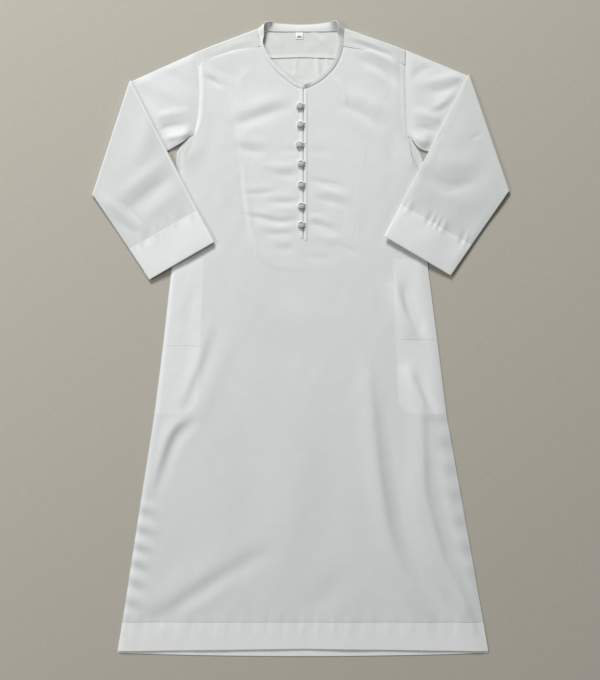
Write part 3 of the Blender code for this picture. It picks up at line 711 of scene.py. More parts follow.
def seam_puckers(x, y):
    """Short cross folds where long seams pull: down the side seams and along the hem."""
    from_left, from_right = x - edge_x(-1, y), edge_x(1, y) - x
    low_left = smooth((-330.0 - y) / 50.0) * smooth((y + 625.0) / 50.0)
    low_left = low_left * np.exp(-((from_left - 14.0) / 22.0) ** 2)
    left = np.sin((y + 0.45 * from_left) * 2 * np.pi / 41.0 + 0.6 * np.sin(y / 37.0)) * 2.0 * low_left
    mid_right = smooth((-120.0 - y) / 60.0) * smooth((y + 560.0) / 80.0)
    mid_right = mid_right * np.exp(-((from_right - 12.0) / 18.0) ** 2)
    right = ripples(y - 0.3 * from_right, 58.0) * 0.9 * mid_right
    by_hem = np.exp(-((y - HEM_SEAM_Y + 6.0) / 20.0) ** 2)
    hem = np.sin(x * 2 * np.pi / 37.0 + 2.0 * np.sin(x / 61.0)) + 0.6 * ripples(x, 17.0)
    return left + right + hem * 0.5 * by_hem


def front_base(x, y):
    """The front's top before its creases: down at the side seams, level in the middle, lower under the
    forearms, and with one long ridge beside the right side seam."""
    inward = from_sides(x, y)
    middle = FRONT_TOP - 0.8 * under_forearm(x, y)
    ridge = 1.8 * np.exp(-((inward - 32.0) / 17.0) ** 2) * (x > 0)
    ridge = ridge * smooth((-60.0 - y) / 80.0) * smooth((y + 625.0) / 40.0)
    rolled = np.sqrt(smooth(inward / np.where(x < 0, *EDGE_ROLL)))
    return between(read_off(EDGE_TOP, y, 1), middle, rolled) + ridge


def front_top(x, y):
    """The front's top with its creases, kept low under the forearms and flat behind the buttons."""
    inward = from_sides(x, y)
    free = 1.0 - under_forearm(x, y)
    chest = smooth((y - 120.0) / 60.0)
    loose = 0.5 * (1.0 - chest) * waves(x, y, 210.0, 620.0, seed=4) + 0.12 * waves(x, y, 70.0, 110.0, seed=9)
    folds = creases(x, y, CHEST_CREASES) + creases(x, y, SKIRT_CREASES) + loose
    by_slit = np.exp(-((x - SLIT_X) / 14.0) ** 2) * smooth((y - 190.0) / 20.0)
    folds = np.clip(folds * (1.0 - 0.75 * by_slit), -2.1 - 0.8 * (1.0 - chest), 6.0)
    on_facing = smooth(distance_inside(x, y, FACING) / 4.0 + 0.5)
    folds += 0.7 * on_facing * smooth((560.0 - y) / 50.0) * smooth((70.0 - x) / 90.0)
    felled = 0.35 * smooth(inward / 2.0) * smooth((11.5 - inward) / 2.0) * smooth((y - 440.0) / 15.0)
    return front_base(x, y) + (folds * smooth(inward / 30.0) + seam_puckers(x, y)) * free + felled


print("the front is", round(float(front_top(np.zeros(1), np.zeros(1))[0]), 1), "mm up at the robe's middle")

# %% [markdown]
# ## The front's seams and stitching
# The finish needs to know how far each point is from every seam. Those distances are worked out here once
# and stored on the mesh. The finish then reads them: stitches up the armholes, the hem's seam, the edges
# of the facing and the pockets, and rows of satin stitching where each arch carries them.

# %% What the front stores for its finish
def show_through(x, y):
    """The front's distances: from its side edges, the facing, the pockets and the rows of satin stitching."""
    left, _ = distance_to(x, y, curve_through(ARCS[-1]))
    right, _ = distance_to(x, y, curve_through(ARCS[1]))
    arc = np.where(x < SLIT_X, left, right)
    run = np.zeros(np.shape(x))
    for side in (-1, 1):
        for low, high in ARC_RUNS[side]:
            window = smooth((y - low) / 8.0 + 0.5) * smooth((high - y) / 8.0 + 0.5)
            run = np.maximum(run, window * (x * side > 20.0) * smooth((13.5 - np.abs(arc)) / 4.0 + 0.5))
    pocket = np.maximum(*(distance_inside(x, y, POCKETS[side]) for side in (-1, 1)))
    return {"arc": arc, "run": run, "facing": distance_inside(x, y, FACING), "pocket": pocket,
            "edge": from_sides(x, y)}


def front_finish():
    cloth = Cloth("front cloth")
    edge, facing, pocket = cloth.attribute("edge"), cloth.attribute("facing"), cloth.attribute("pocket")
    up_armhole = cloth.y.more(446.0)
    cloth.stitched(edge, 1.6, 9.5, where=up_armhole)
    cloth.stitched(cloth.y - HEM_SEAM_Y, 0.0)
    # painted shade along the hem's seam line
    cloth.shade_seam_line(cloth.y - HEM_SEAM_Y)
    below_yoke = ((575.0 - cloth.y) / 60.0).at_least(0.0).at_most(1.0)
    cloth.whiten_double_and_highlight((facing / 5.0 + 0.5).at_least(0.0).at_most(1.0) * below_yoke * 0.12)
    cloth.stitched(facing, 3.0, where=cloth.y.less(540.0))
    cloth.whiten_double_and_highlight((pocket / 5.0 + 0.5).at_least(0.0).at_most(1.0) * 0.6)
    for side, seam_y in POCKET_SEAMS.items():
        in_bag = pocket.more(0.0) * (cloth.x * side).more(0.0)
        cloth.stitched(cloth.y - seam_y, 1.4, where=in_bag)
        # painted shade along the seam across the bag
        cloth.shade_seam_line(cloth.y - seam_y, where=in_bag * 0.55)
    cloth.whiten_double_and_highlight((HEM_SEAM_Y - cloth.y).at_least(0.0).at_most(1.0))
    cloth.whiten_double_and_highlight(edge.less(10.0) * up_armhole * 0.5)
    rows = (cloth.attribute("arc") * (2 * math.pi / ARC_SPACING)).sine().more(0.5)
    return cloth.finish(satin=rows * cloth.attribute("run").more(0.5))


print("satin rows are", ARC_SPACING, "mm apart, in", sum(map(len, ARC_RUNS.values())), "stretches")

# %% [markdown]
# ## Laying the front
# The grid's rows are spread by a table: close together at the hem's turned-up edge and at the neck, wider
# where the skirt is plain. Each half runs from its side seam to the slit, and the two meet on one line
# below it.

# %% Carry the front into place
FRONT_ROWS = np.array([
    # row, y at the body's edge, y at the centre or neckline, upward bow, depth turned under
    (0, -628.0, -627.0, 0.0, 1.6),
    (9, -689.0, -683.5, 0.0, 1.6),
    (10, -690.0, -684.5, 0.0, 0.8),
    (11, -689.5, -684.0, 0.0, 0.0),
    (21, -622.0, -621.0, 0.0, 0.0),
    (86, -176.0, -176.0, 0.0, 0.0),
    (110, -15.0, -15.0, 0.0, 0.0),
    (132, 150.0, 120.0, 0.0, 0.0),
    (146, 230.0, 215.6, 0.0, 0.0),
    (180, 374.0, 360.0, 0.0, 0.0),
    (198, 444.4, 455.0, 0.0, 0.0),
    (212, 500.0, 520.0, 0.0, 0.0),
    (219, 525.0, 549.0, 0.0, 0.0),
    (222, 545.0, 556.0, 0.0, 0.0),
    (226, 560.0, 570.0, 1.0, 0.0),
    (231, 576.0, 592.0, 3.0, 0.0),
    (236, 590.0, 616.0, 5.0, 0.0),
    (241, 602.0, 642.0, 6.0, 0.0),
    (243, 607.0, 647.0, 6.0, 1.1),
], float)
HALF_COLUMNS = 74
HEM_SHOWS = 4.5                         # how far the back's hem shows below the front's
INSET = {-1: (412.0, 21.0), 1: (392.0, 14.0)}    # side: where the front is pulled in at the underarm, how far


def front_inset(side, y):
    """The front's edge is pulled in at the underarm, so the back shows beside it."""
    middle, most = INSET[side]
    return most * np.exp(-((y - middle) / 34.0) ** 2)


def front_half(side):
    def place(u, v):
        row = v * FRONT_ROWS[-1, 0]
        outer_y, inner_y, bow, under = (read_off(FRONT_ROWS, row, column) for column in (1, 2, 3, 4))
        outer_x = edge_x(side, outer_y) - side * front_inset(side, outer_y)
        slit = np.where(inner_y > SLIT_END_Y + 0.5, SLIT_X + side * SLIT_HALF, SLIT_X)
        neck = read_off(NECKLINE, inner_y, 1 if side < 0 else 2)
        inner_x = np.where(inner_y > NECKLINE[0, 0], neck, slit)
        x = between(outer_x, inner_x, u)
        y = between(outer_y, inner_y, u) + bow * 4.0 * u * (1.0 - u)
        y = y + HEM_SHOWS * smooth((HEM_SEAM_Y - 6.0 - y) / 66.0)
        lifted = front_inset(side, outer_y) * 0.12 * smooth(1.0 - u * 6.0) * (1.0 - under_forearm(x, y))
        at_neck = smooth((u - 0.955) / 0.04) * (inner_y > NECKLINE[0, 0])
        x, y = x - side * 2.6 * at_neck, y + 2.2 * at_neck
        return x, y, front_top(x, y) + lifted - 0.9 * at_neck - under, show_through(x, y)
    return place


rows = int(FRONT_ROWS[-1, 0])
front = join("front", [normals_out(grid("front", HALF_COLUMNS, rows, front_half(side))) for side in (-1, 1)],
             weld=0.0001)
front_area = area_of(front)
thicken(front, CLOTH)
print("front:", len(front.data.polygons) * 2, "triangles, cloth", round(front_area, 3), "m2")

# %% [markdown]
# ## The back panel
# The back lies flat on the surface, so its underside stays a plane. It shows only inside the neck, where
# it is gathered into two small pleats under the yoke, beside the underarms and as a narrow strip below
# the front's hem.

# %% The back, finest where it shows
PLEATS = [
    # points, half width, height, lean
    ([(34, 622), (38, 596), (42, 566)], 4.0, 1.5, 1.0),
    ([(44, 622), (48, 600), (50, 570)], 3.0, -0.35, 1.0),
    ([(57, 622), (58, 604), (60, 586)], 3.5, 1.2, 1.0),
    ([(-10, 622), (-11, 600), (-12, 576)], 4.0, 0.7, 1.0),
    ([(-60, 600), (-30, 584), (10, 578)], 6.0, 0.5, 1.0),
]
UNDERARM_FOLDS = [
    # the bunched cloth beside the armholes' foot, seen past the front's edge
    ([(-250, 440), (-258, 414), (-252, 380)], 5, 2.6, 1.0),
    ([(-266, 420), (-274, 396), (-268, 366)], 4, 2.0, 1.0),
    ([(242, 436), (246, 408), (252, 380)], 4, 2.2, 1.0),
]
# share of the grid, share of the panel: the columns are closest behind the neck, and the rows at the top
BACK_ACROSS = np.array([(0.0, 0.0), (0.1, 0.06), (0.28, 0.375), (0.72, 0.625), (0.9, 0.94), (1.0, 1.0)])
BACK_UP = np.array([(0.0, 0.0), (0.5, 0.92), (1.0, 1.0)])
BACK_LOW, BACK_HIGH = -690.0, 594.0     # its ends at the side seam and at the armhole
YOKE_SEAM = np.array([(-230.0, 594.0), (-96.0, 616.0), (0.0, 619.5), (96.0, 616.0), (230.0, 594.0)])


def back_place(u, v):
    across = read_off(BACK_ACROSS, u, 1)
    up = read_off(BACK_UP, v, 1)
    side_y = between(BACK_LOW, BACK_HIGH, up)
    x = between(edge_x(-1, side_y), edge_x(1, side_y), across)
    at_side = smooth((np.abs(across - 0.5) - 0.42) / 0.08) * np.sign(across - 0.5)
    x = x + 8.0 * at_side * np.exp(-((side_y - 400.0) / 30.0) ** 2)
    hem_y = -697.0 + 7.0 * ((x - 4.0) / 400.0) ** 2
    y = between(hem_y, read_off(YOKE_SEAM, x, 1) + 5.0, up)
    gathers = creases(x, y, PLEATS) + 0.15 * waves(x, y, 30.0, 60.0, seed=2) * smooth((y - 480.0) / 60.0)
    in_neck = smooth((98.0 - np.abs(x)) / 10.0) * smooth((YOKE_SEAM[2, 1] + 3.0 - y) / 4.0)
    z = BACK_TOP + 0.25 * smooth((HEM_SEAM_Y - y) / 4.0) + np.maximum(gathers, -0.3) * in_neck
    return x, y, z + creases(x, y, UNDERARM_FOLDS)


def flatten_under(sheet, count):
    """Lays every point of the wall's second face, which follow the first count points, on the surface."""
    for vertex in sheet.data.vertices[count:]:
        vertex.co.z = 0.0


back = normals_out(grid("back", 150, 110, back_place))
back_area, back_count = area_of(back), len(back.data.vertices)
thicken(back, CLOTH)
flatten_under(back, back_count)
back_cloth = Cloth("back cloth", tone=(0.68, 0.71, 0.70))
back_cloth.stitched(back_cloth.y - HEM_SEAM_Y, 0.0)
# painted shade along the hem's seam line
back_cloth.shade_seam_line(back_cloth.y - HEM_SEAM_Y)
back_cloth.whiten_double_and_highlight(back_cloth.y.less(HEM_SEAM_Y))
declare(back, back_cloth.finish(), (0.83, 1.40), ["back_panel", "hem_back"],
        back_area)

# %% [markdown]
# ## The yoke
# The yoke is the double piece across the shoulders. It starts at the back seam inside the neck, runs up
# to the shoulders and rolls over them to the two front seams. Each flap is one grid that goes down the
# front side, round the roll and back along the surface; a third grid joins the two behind the neck.

# %% Roll the yoke over the shoulders
YOKE_FLAP = np.array([
    # left seam x, y, left fold x, y, right seam x, y, right fold x, y, from the armhole to the neck
    (-224.4, 602.6, -227.6, 631.4, 228.0, 602.6, 228.4, 636.0),
    (-190.0, 616.5, -196.0, 643.8, 194.0, 616.5, 196.0, 648.0),
    (-156.2, 628.2, -163.0, 656.2, 160.4, 628.2, 163.0, 659.5),
    (-122.0, 636.8, -129.5, 669.0, 126.4, 636.8, 129.5, 671.5),
    (-88.2, 642.8, -96.0, 681.5, 92.8, 642.8, 96.0, 683.0),
])
YOKE_NECK = np.array([(-96.0, 676.1), (-60.0, 675.0), (60.0, 675.0), (96.0, 677.6)])
FLAP_SHARE, ROLL_SHARE = 0.35, 0.5     # where along the grid the flap ends and where the roll does
NOT_HERE = 60.0                        # a stored distance that is too great for any stitch
YOKE_PUCKERS = [
    # points, half width, height, lean
    ([(-216, 600), (-196, 614), (-176, 624)], 6, -0.8, 1.0),
    ([(110, 664), (150, 650), (196, 632)], 7, 1.6, 1.0),
    ([(104, 654), (150, 640), (200, 620)], 6, -1.2, 1.0),
    ([(-104, 656), (-140, 648), (-190, 628)], 8, 0.9, 1.0),
]
INNER_CREASES = [
    # the same, on the yoke's inside behind the neck
    ([(24, 674), (44, 658), (58, 640), (68, 620)], 5, 2.2, 1.3),
    ([(-70, 668), (-50, 650), (-44, 630)], 8, 0.8, 1.0),
]


def back_strip(y, seam_y):
    """The strip's underside: on the surface, and up on the back panel's top edge where it is sewn to it."""
    return (BACK_TOP + 0.05) * smooth(1.0 - (y - seam_y) / 9.0)


def yoke_flap(side):
    def place(u, v):
        first = 0 if side < 0 else 4
        index = np.column_stack([np.arange(5.0) / 4.0, YOKE_FLAP[:, first:first + 4]])
        seam_x, seam_y, fold_x, fold_y = (read_off(index, u, column) for column in (1, 2, 3, 4))
        rise = FRONT_TOP + 0.8 - 1.1 * smooth(1.0 - u * 6.0)
        radius = rise / 2.0
        down = np.clip(v / FLAP_SHARE, 0.0, 1.0)
        turn = np.clip((v - FLAP_SHARE) / (ROLL_SHARE - FLAP_SHARE), 0.0, 1.0) * np.pi
        under = np.clip((v - ROLL_SHARE) / (1.0 - ROLL_SHARE), 0.0, 1.0)
        flap_y = between(seam_y + 0.3, fold_y - radius, down)
        low_x = np.where(u < 0.01, edge_x(side, YOKE_SEAM[0, 1]), fold_x)
        low_y = read_off(YOKE_SEAM, low_x, 1)
        x = np.where(v < FLAP_SHARE, between(seam_x, fold_x, down), fold_x)
        back_y = between(fold_y - 2.0 * radius, low_y, under)
        y = np.where(v < FLAP_SHARE, flap_y, fold_y - radius + radius * np.sin(turn))
        y = np.where(v > ROLL_SHARE, back_y, y)
        flap_z = rise + creases(x, y, YOKE_PUCKERS) * smooth(down * 4.0)
        z = np.where(v < FLAP_SHARE, flap_z, radius + radius * np.cos(turn))
        z = np.where(v > ROLL_SHARE, back_strip(y, low_y), z)
        x = np.where((v > ROLL_SHARE) & (u < 0.3), between(edge_x(side, y), x, u / 0.3), x)
        return x, y, z, {"front_seam": np.where(v < FLAP_SHARE + 0.02, y - seam_y, NOT_HERE),
                         "armhole": np.abs(x - edge_x(side, y)),
                         "back_seam": np.where(v > ROLL_SHARE + 0.05, y - low_y, NOT_HERE)}
    return place


def yoke_middle(u, v):
    x = between(-96.0, 96.0, u)
    low_y = read_off(YOKE_SEAM, x, 1)
    y = between(read_off(YOKE_NECK, x, 1), low_y, v)
    dimple = 0.3 * waves(x, y, 60.0, 40.0, seed=12) + creases(x, y, INNER_CREASES)
    dimple = np.maximum(dimple, 0.0) * smooth((88.0 - np.abs(x)) / 10.0)
    z = back_strip(y, low_y) + dimple
    return x, y, z, {"front_seam": NOT_HERE, "armhole": NOT_HERE, "back_seam": y - low_y}


def face_out(sheet):
    """Recalculates the normals of a folded or tubular sheet so that its highest face points up."""
    select(sheet)
    bpy.ops.object.mode_set(mode="EDIT")
    bpy.ops.mesh.select_all(action="SELECT")
    bpy.ops.mesh.normals_make_consistent(inside=False)
    bpy.ops.object.mode_set(mode="OBJECT")
    highest = max(sheet.data.polygons, key=lambda face: face.center.z)
    if highest.normal.z < 0:
        sheet.data.flip_normals()
    return sheet


flaps = [grid("yoke", 34, 40, yoke_flap(side)) for side in (-1, 1)]
yoke = face_out(join("yoke_cloth", [*flaps, grid("yoke", 56, 20, yoke_middle)], weld=0.0002))
yoke_area = area_of(yoke)
thicken(yoke, DOUBLE)
yoke_cloth = Cloth("yoke cloth", tone=(0.645, 0.67, 0.66))
for name, lines in (("front_seam", (1.8, 7.0)), ("back_seam", (1.8,)), ("armhole", (1.6, 9.5))):
    yoke_cloth.stitched(yoke_cloth.attribute(name), *lines)
declare(yoke, yoke_cloth.finish(), (0.47, 0.12), ["yoke"],
        yoke_area)

# %% [markdown]
# ## The sleeves
# Each sleeve is a tube that is pressed flat: it runs out from the armhole, turns over a fold and comes
# back across the front to its open cuff. The grid is wrapped round the tube's section at every step along
# the way, and welded where it meets itself. The cuff is turned in double at its mouth and stands up a
# little, so it throws a shadow.

# %% The way along a sleeve
FOLD_BEND, FOLD_HALF = 2.4, 1.3          # mm: the fold's radius, and half the pressed tube's thickness there
CUFF_DEPTH = 81.0
TURNED_IN = 0.1                          # share of the forearm that the cuff's inner cloth is drawn to
SLEEVE_ROWS = np.array([
    # share of the grid, way along: 0 to 1 is the upper arm, 1 to 2 the fold, 2 to 3 the forearm, and
    # 3 to 4 the cloth that the cuff turns in
    (0.0, 0.0), (0.33, 1.0), (0.41, 2.0), (0.93, 3.0), (0.945, 3.15), (1.0, 4.0)])
HALF_THICKNESS = np.array([
    # way along, half the tube's thickness
    (0.0, 0.95), (0.04, 1.45), (0.4, 1.4), (0.7, 1.3), (2.06, 1.3), (2.3, 1.6), (2.6, 1.9), (3.0, 2.1)])
# way along, share of the armhole's curve that the sleeve still follows
ARMHOLE_CURVE = np.array([(0.0, 1.0), (0.14, 0.7), (0.38, 0.2), (0.68, 0.0)])
SLEEVE_SHAPE = {
    # side: rounding of its edges, rise of the cuff's inner corner, sag and bulge at the underarm, where
    -1: (3.4, 3.6, 3.0, 4.0, (-262.0, 426.0)),
    1: (1.5, 6.4, 13.0, 2.0, (262.0, 422.0)),
}
CUFF_RISE, MOUTH_OPENS = 110.0, 60.0     # mm from the mouth at which the cuff starts to rise and to open
NO_CUFF, NO_EDGE, NO_HIGHLIGHT_RIM = -900.0, -90.0, 60.0     # the stored distances away from the forearm, and away from its painted highlight
SLEEVE_CREASES = {
    -1: [
        # points, half width, height, lean
        ([(-276, 364), (-327, 322), (-384, 278)], 13, -2.6, 1.3),
        ([(-294, 396), (-346, 352), (-404, 308)], 15, 2.2, 1.0),
        ([(-264, 330), (-312, 290), (-350, 256)], 14, 0.9, 1.0),
        ([(-390, 304), (-372, 282), (-352, 256)], 4, -1.8, 1.0),
        ([(-430, 310), (-398, 280), (-352, 240)], 8, 2.2, 1.2),
        ([(-418, 268), (-390, 248), (-362, 228)], 7, -1.2, 1.0),
        ([(-322, 530), (-336, 450), (-362, 384)], 22, 2.6, 1.0),
        ([(-318, 456), (-286, 468), (-246, 474)], 8, -2.2, 0.8),
        ([(-310, 436), (-272, 447), (-238, 454)], 7, 3.6, 1.2),
        ([(-322, 484), (-286, 494), (-244, 500)], 10, 2.0, 1.0),
        ([(-362, 560), (-330, 524), (-296, 500)], 12, -1.3, 1.0),
        ([(-346, 574), (-300, 545), (-246, 520)], 14, 1.4, 1.0),
        ([(-300, 588), (-266, 572), (-238, 546)], 9, -1.0, 1.0),
    ],
    1: [
        ([(268, 376), (290, 347), (326, 331), (384, 345)], 12, -3.0, 1.2),
        ([(300, 392), (340, 384), (390, 390)], 22, 2.4, 1.0),
        ([(372, 438), (388, 446), (404, 454)], 4, -1.6, 1.0),
        ([(330, 306), (370, 300), (410, 316)], 16, 0.5, 1.0),
        ([(320, 300), (356, 268), (380, 230)], 18, -1.2, 1.0),
        ([(240, 452), (268, 446), (292, 428)], 8, 3.4, 1.2),
        ([(250, 474), (280, 466), (306, 446)], 8, -2.4, 0.8),
        ([(240, 500), (280, 492), (318, 470)], 9, 2.4, 1.0),
        ([(362, 566), (320, 548), (284, 540)], 9, -2.2, 0.9),
        ([(356, 580), (310, 570), (262, 560)], 10, 2.2, 1.0),
        ([(350, 545), (320, 522), (290, 508)], 8, 2.0, 1.0),
        ([(340, 528), (312, 506), (286, 494)], 7, -1.8, 1.0),
        ([(300, 604), (262, 588), (240, 566)], 9, -1.4, 1.0),
    ],
}


print("forearms lie from", round(FOREARM_UNDER, 1), "mm up, and the cuffs are", CUFF_DEPTH, "mm deep")

# %% [markdown]
# ## The pressed tube
# A sleeve's section is a tube that is pressed nearly flat: two walls, and a small rounding at either
# edge. The two edges run along straight lines that turn once at the fold, so the tube's place is worked
# out from them.

# %% The tube's edges and section
def sleeve_lines(side):
    """The two edges that the tube follows, as CAD has them: its fold is set in by the bend's own size."""
    fold_top, elbow = corner("fold_top", side), corner("elbow", side)
    along = (elbow - fold_top) / np.linalg.norm(elbow - fold_top)
    outward = np.array((along[1], -along[0]))
    outward *= np.sign(outward[0] * side)
    inset = outward * (FOLD_BEND + FOLD_HALF)
    return fold_top - inset, elbow - inset - along * 3.0, outward


def along_edge(start, fold, end, outward, way):
    """One edge of the tube, at each way along."""
    upper, fore = np.clip(way, 0.0, 1.0), np.clip(way - 2.0, 0.0, 1.0)
    back_in = np.clip(way - 3.0, 0.0, 1.0) * TURNED_IN
    push = FOLD_BEND * np.sin(np.clip(way - 1.0, 0.0, 1.0) * np.pi)
    share = (fore - back_in)[:, None]
    return (np.where(way[:, None] < 1.5, between(start, fold, upper[:, None]), between(fold, end, share))
            + outward * push[:, None])


def tube_section(q, width, rounding):
    """A pressed tube's section at q, from edge to edge: the share of its width, and of its height."""
    bend = 6.0 / 64.0
    first = np.clip(q / bend, 0.0, 1.0) * np.pi / 2.0
    last = np.clip((1.0 - q) / bend, 0.0, 1.0) * np.pi / 2.0
    level = np.clip((q - bend) / (1.0 - 2.0 * bend), 0.0, 1.0)
    reach = rounding * (1.0 - np.cos(first)) + (width - 2.0 * rounding) * level + rounding * np.cos(last)
    return reach / width, np.minimum(np.sin(first), np.sin(last))


print("a tube's edge is", tube_section(np.zeros(1), np.full(1, 200.0), 3.4)[1][0], "high, its middle",
      tube_section(np.full(1, 0.5), np.full(1, 200.0), 3.4)[1][0])

# %% [markdown]
# ## A worn sleeve
# The plain tube is given what wearing and laying it do: creases on the wall that shows, puckers along the
# cuff's seam, a mouth that opens a little, and loose cloth at the underarm.

# %% Carry a sleeve into place
def sleeve_place(side):
    fold_top, elbow, outward = sleeve_lines(side)
    shoulder, underarm = corner("shoulder", side), corner("underarm", side)
    cuff_inner, cuff_outer = corner("cuff_inner", side), corner("cuff_outer", side)
    inner_length, outer_length = np.linalg.norm(cuff_inner - fold_top), np.linalg.norm(cuff_outer - elbow)
    rounding, inner_rise, sags, bulges, bulge_at = SLEEVE_SHAPE[side]

    def tube(u, v):
        """The plain tube: each point's place, way along, share of the width, and whether it is in front."""
        way = read_off(SLEEVE_ROWS, v, 1)
        in_front = u < 0.5
        top = along_edge(shoulder, fold_top, cuff_inner, outward, way)
        under = along_edge(underarm, elbow, cuff_outer, outward, way)
        width = np.linalg.norm(under - top, axis=1)
        share, rise = tube_section(np.where(in_front, 2.0 * u, 2.0 - 2.0 * u), width, rounding)
        spot = top + (under - top) * share[:, None]
        straight = between(shoulder, underarm, share[:, None])
        to_armhole = edge_x(side, straight[:, 1]) + side * 0.3 - straight[:, 0]
        spot[:, 0] += read_off(ARMHOLE_CURVE, way, 1) * to_armhole
        turn = np.clip(way - 1.0, 0.0, 1.0) * np.pi
        half = read_off(HALF_THICKNESS, way, 1)
        turned_in = smooth((way - 3.0) / 0.15)
        wall = (half - 1.7 * turned_in) * rise * np.where(in_front, 1.0, -1.0)
        spot = spot - outward * (np.sin(turn) * wall)[:, None]
        middle = np.where(way < 1.0, half, FOLD_HALF + FOLD_BEND * (1.0 - np.cos(turn)))
        middle = np.where(way > 2.0, FOREARM_UNDER + half, middle)
        return spot[:, 0], spot[:, 1], middle + np.cos(turn) * wall, way, share, width, in_front

    def place(u, v):
        x, y, z, way, share, width, in_front = tube(u, v)
        forearm = way > 2.0
        across, ends = share * width, np.minimum(share, 1.0 - share)
        length = between(inner_length, outer_length, share)
        from_edge = (1.0 - np.clip(way - 2.0, 0.0, 1.0)) * length
        from_mouth = from_edge + np.clip(way - 3.0, 0.0, 1.0) * TURNED_IN * length
        cuff = CUFF_DEPTH - from_edge

        # creases and puckers, on the top wall: it is the front one before the fold and the other one after it
        shows = np.where(way < 1.5, in_front, ~in_front) * smooth(ends / 0.07)
        before = smooth(way / 0.12) * smooth((1.0 - way) / 0.15) * (1.0 - under_forearm(x, y))
        after = smooth((way - 2.0) / 0.2) * smooth(from_mouth / MOUTH_OPENS)
        soft = creases(x, y, SLEEVE_CREASES[side]) + 0.5 * waves(x, y, 90.0, 130.0, seed=21 + side)
        soft = np.maximum(soft + 1.4, -1.0) * np.where(way < 1.5, before, after)
        by_seam = np.exp(-(cuff / np.where(cuff > 0, 9.0, 16.0)) ** 2) * forearm
        puckers = by_seam * np.sin(across * 2 * np.pi / 23.0 + 3.0 * np.sin(share * 13.0))
        z = z + shows * (soft + puckers)

        # the cuff rises towards its inner corner, its mouth opens, and the outer side lies lower
        rises = smooth((CUFF_RISE - from_mouth) / CUFF_RISE) * between(inner_rise, 0.8, share)
        opens = smooth((MOUTH_OPENS - from_mouth) / MOUTH_OPENS)
        opens = opens * np.sin(np.pi * np.clip(share, 0.0, 1.0)) ** 0.5 * np.where(in_front, 0.0, 2.0)
        z = z + (rises + opens) * forearm
        z = z - 3.0 * smooth((share - 0.35) / 0.65) * smooth((way - 2.05) / 0.4)

        # at the armhole the cloth is tucked under the body's edge, and at the underarm it sags and bulges
        x = x - side * 5.0 * np.clip(1.0 - way / 0.03, 0.0, 1.0) * in_front * smooth(ends / 0.03)
        sag = sags * smooth((share - 0.5) / 0.5) * smooth(way / 0.08) * (way < 1.5)
        y = y - sag * np.exp(-((x - side * 264.0) / 26.0) ** 2)
        bulge = bulges * np.exp(-((x - bulge_at[0]) ** 2 + (y - bulge_at[1]) ** 2) / 24.0 ** 2) * (way < 0.9)
        z = z + bulge * (1.0 - under_forearm(x, y)) * smooth(way / 0.05)

        # the left forearm's inner edge is a soft roll, and the distance across from it is stored for a
        # painted highlight along it
        roll = np.exp(-((across - 4.0) / 3.5) ** 2) * np.clip(way - 2.0, 0.0, 1.0) ** 0.3
        z = z + 1.1 * roll * (forearm & ~in_front & (side < 0))
        stored = {"cuff": np.where(way > 1.9, cuff, NO_CUFF),
                  "from_edge": np.where(way > 1.9, from_edge, NO_EDGE),
                  "highlight_rim": np.where(way > 1.9, across, NO_HIGHLIGHT_RIM) + NO_HIGHLIGHT_RIM * (side > 0)}
        return x, y, z, stored
    return place


def sleeve_finish(name, side):
    cloth = Cloth(name)
    cloth.slant *= -side
    cuff, from_edge = cloth.attribute("cuff"), cloth.attribute("from_edge")
    cloth.stitched(cuff, 0.0)
    cloth.stitched(from_edge, 2.5)
    cloth.whiten_double_and_highlight(cuff.more(0.0) * 0.6)
    # painted shade: the forearm between its fold and its cuff is drawn a little darker
    cloth.turned(cuff.more(-600.0) * from_edge.more(CUFF_DEPTH))
    # painted highlight: a strip along the left forearm's inner edge is drawn whiter, as if lit
    cloth.whiten_double_and_highlight(cloth.attribute("highlight_rim").band(3.0, 3.0, 2.0))
    return cloth.finish()


print("the left cuff's inner corner rises", SLEEVE_SHAPE[-1][1], "mm and the right one's", SLEEVE_SHAPE[1][1])

# %% [markdown]
# ## Laying the sleeves
# The tube's grid has more rows at the fold and at the mouth, where the cloth turns most. The weld is very
# fine, so that it closes the tube along its seam but never merges the two walls where they lie close
# together.

# %% Lay the sleeves
for side, word in ((-1, "left"), (1, "right")):
    tube = grid("sleeve", 128, 150, sleeve_place(side))
    sleeve = face_out(join("sleeve_cloth_" + word, [tube], weld=0.00002))
    sleeve_area = area_of(sleeve)
    thicken(sleeve, CLOTH)
    declare(sleeve, sleeve_finish("sleeve cloth " + word, side), (0.54, 0.60),
            ["sleeve_" + word, "cuff_" + word], sleeve_area)

# %% [markdown]
# ## The collar band
# The band is a narrow stand, cut double and stiffened, that runs round the neck from one side of the slit
# to the other. Laid flat it leans inwards at the front, stands up at the shoulders and lies back behind
# the neck. Its two edges are given as points, and a curve through them makes it one even strip.

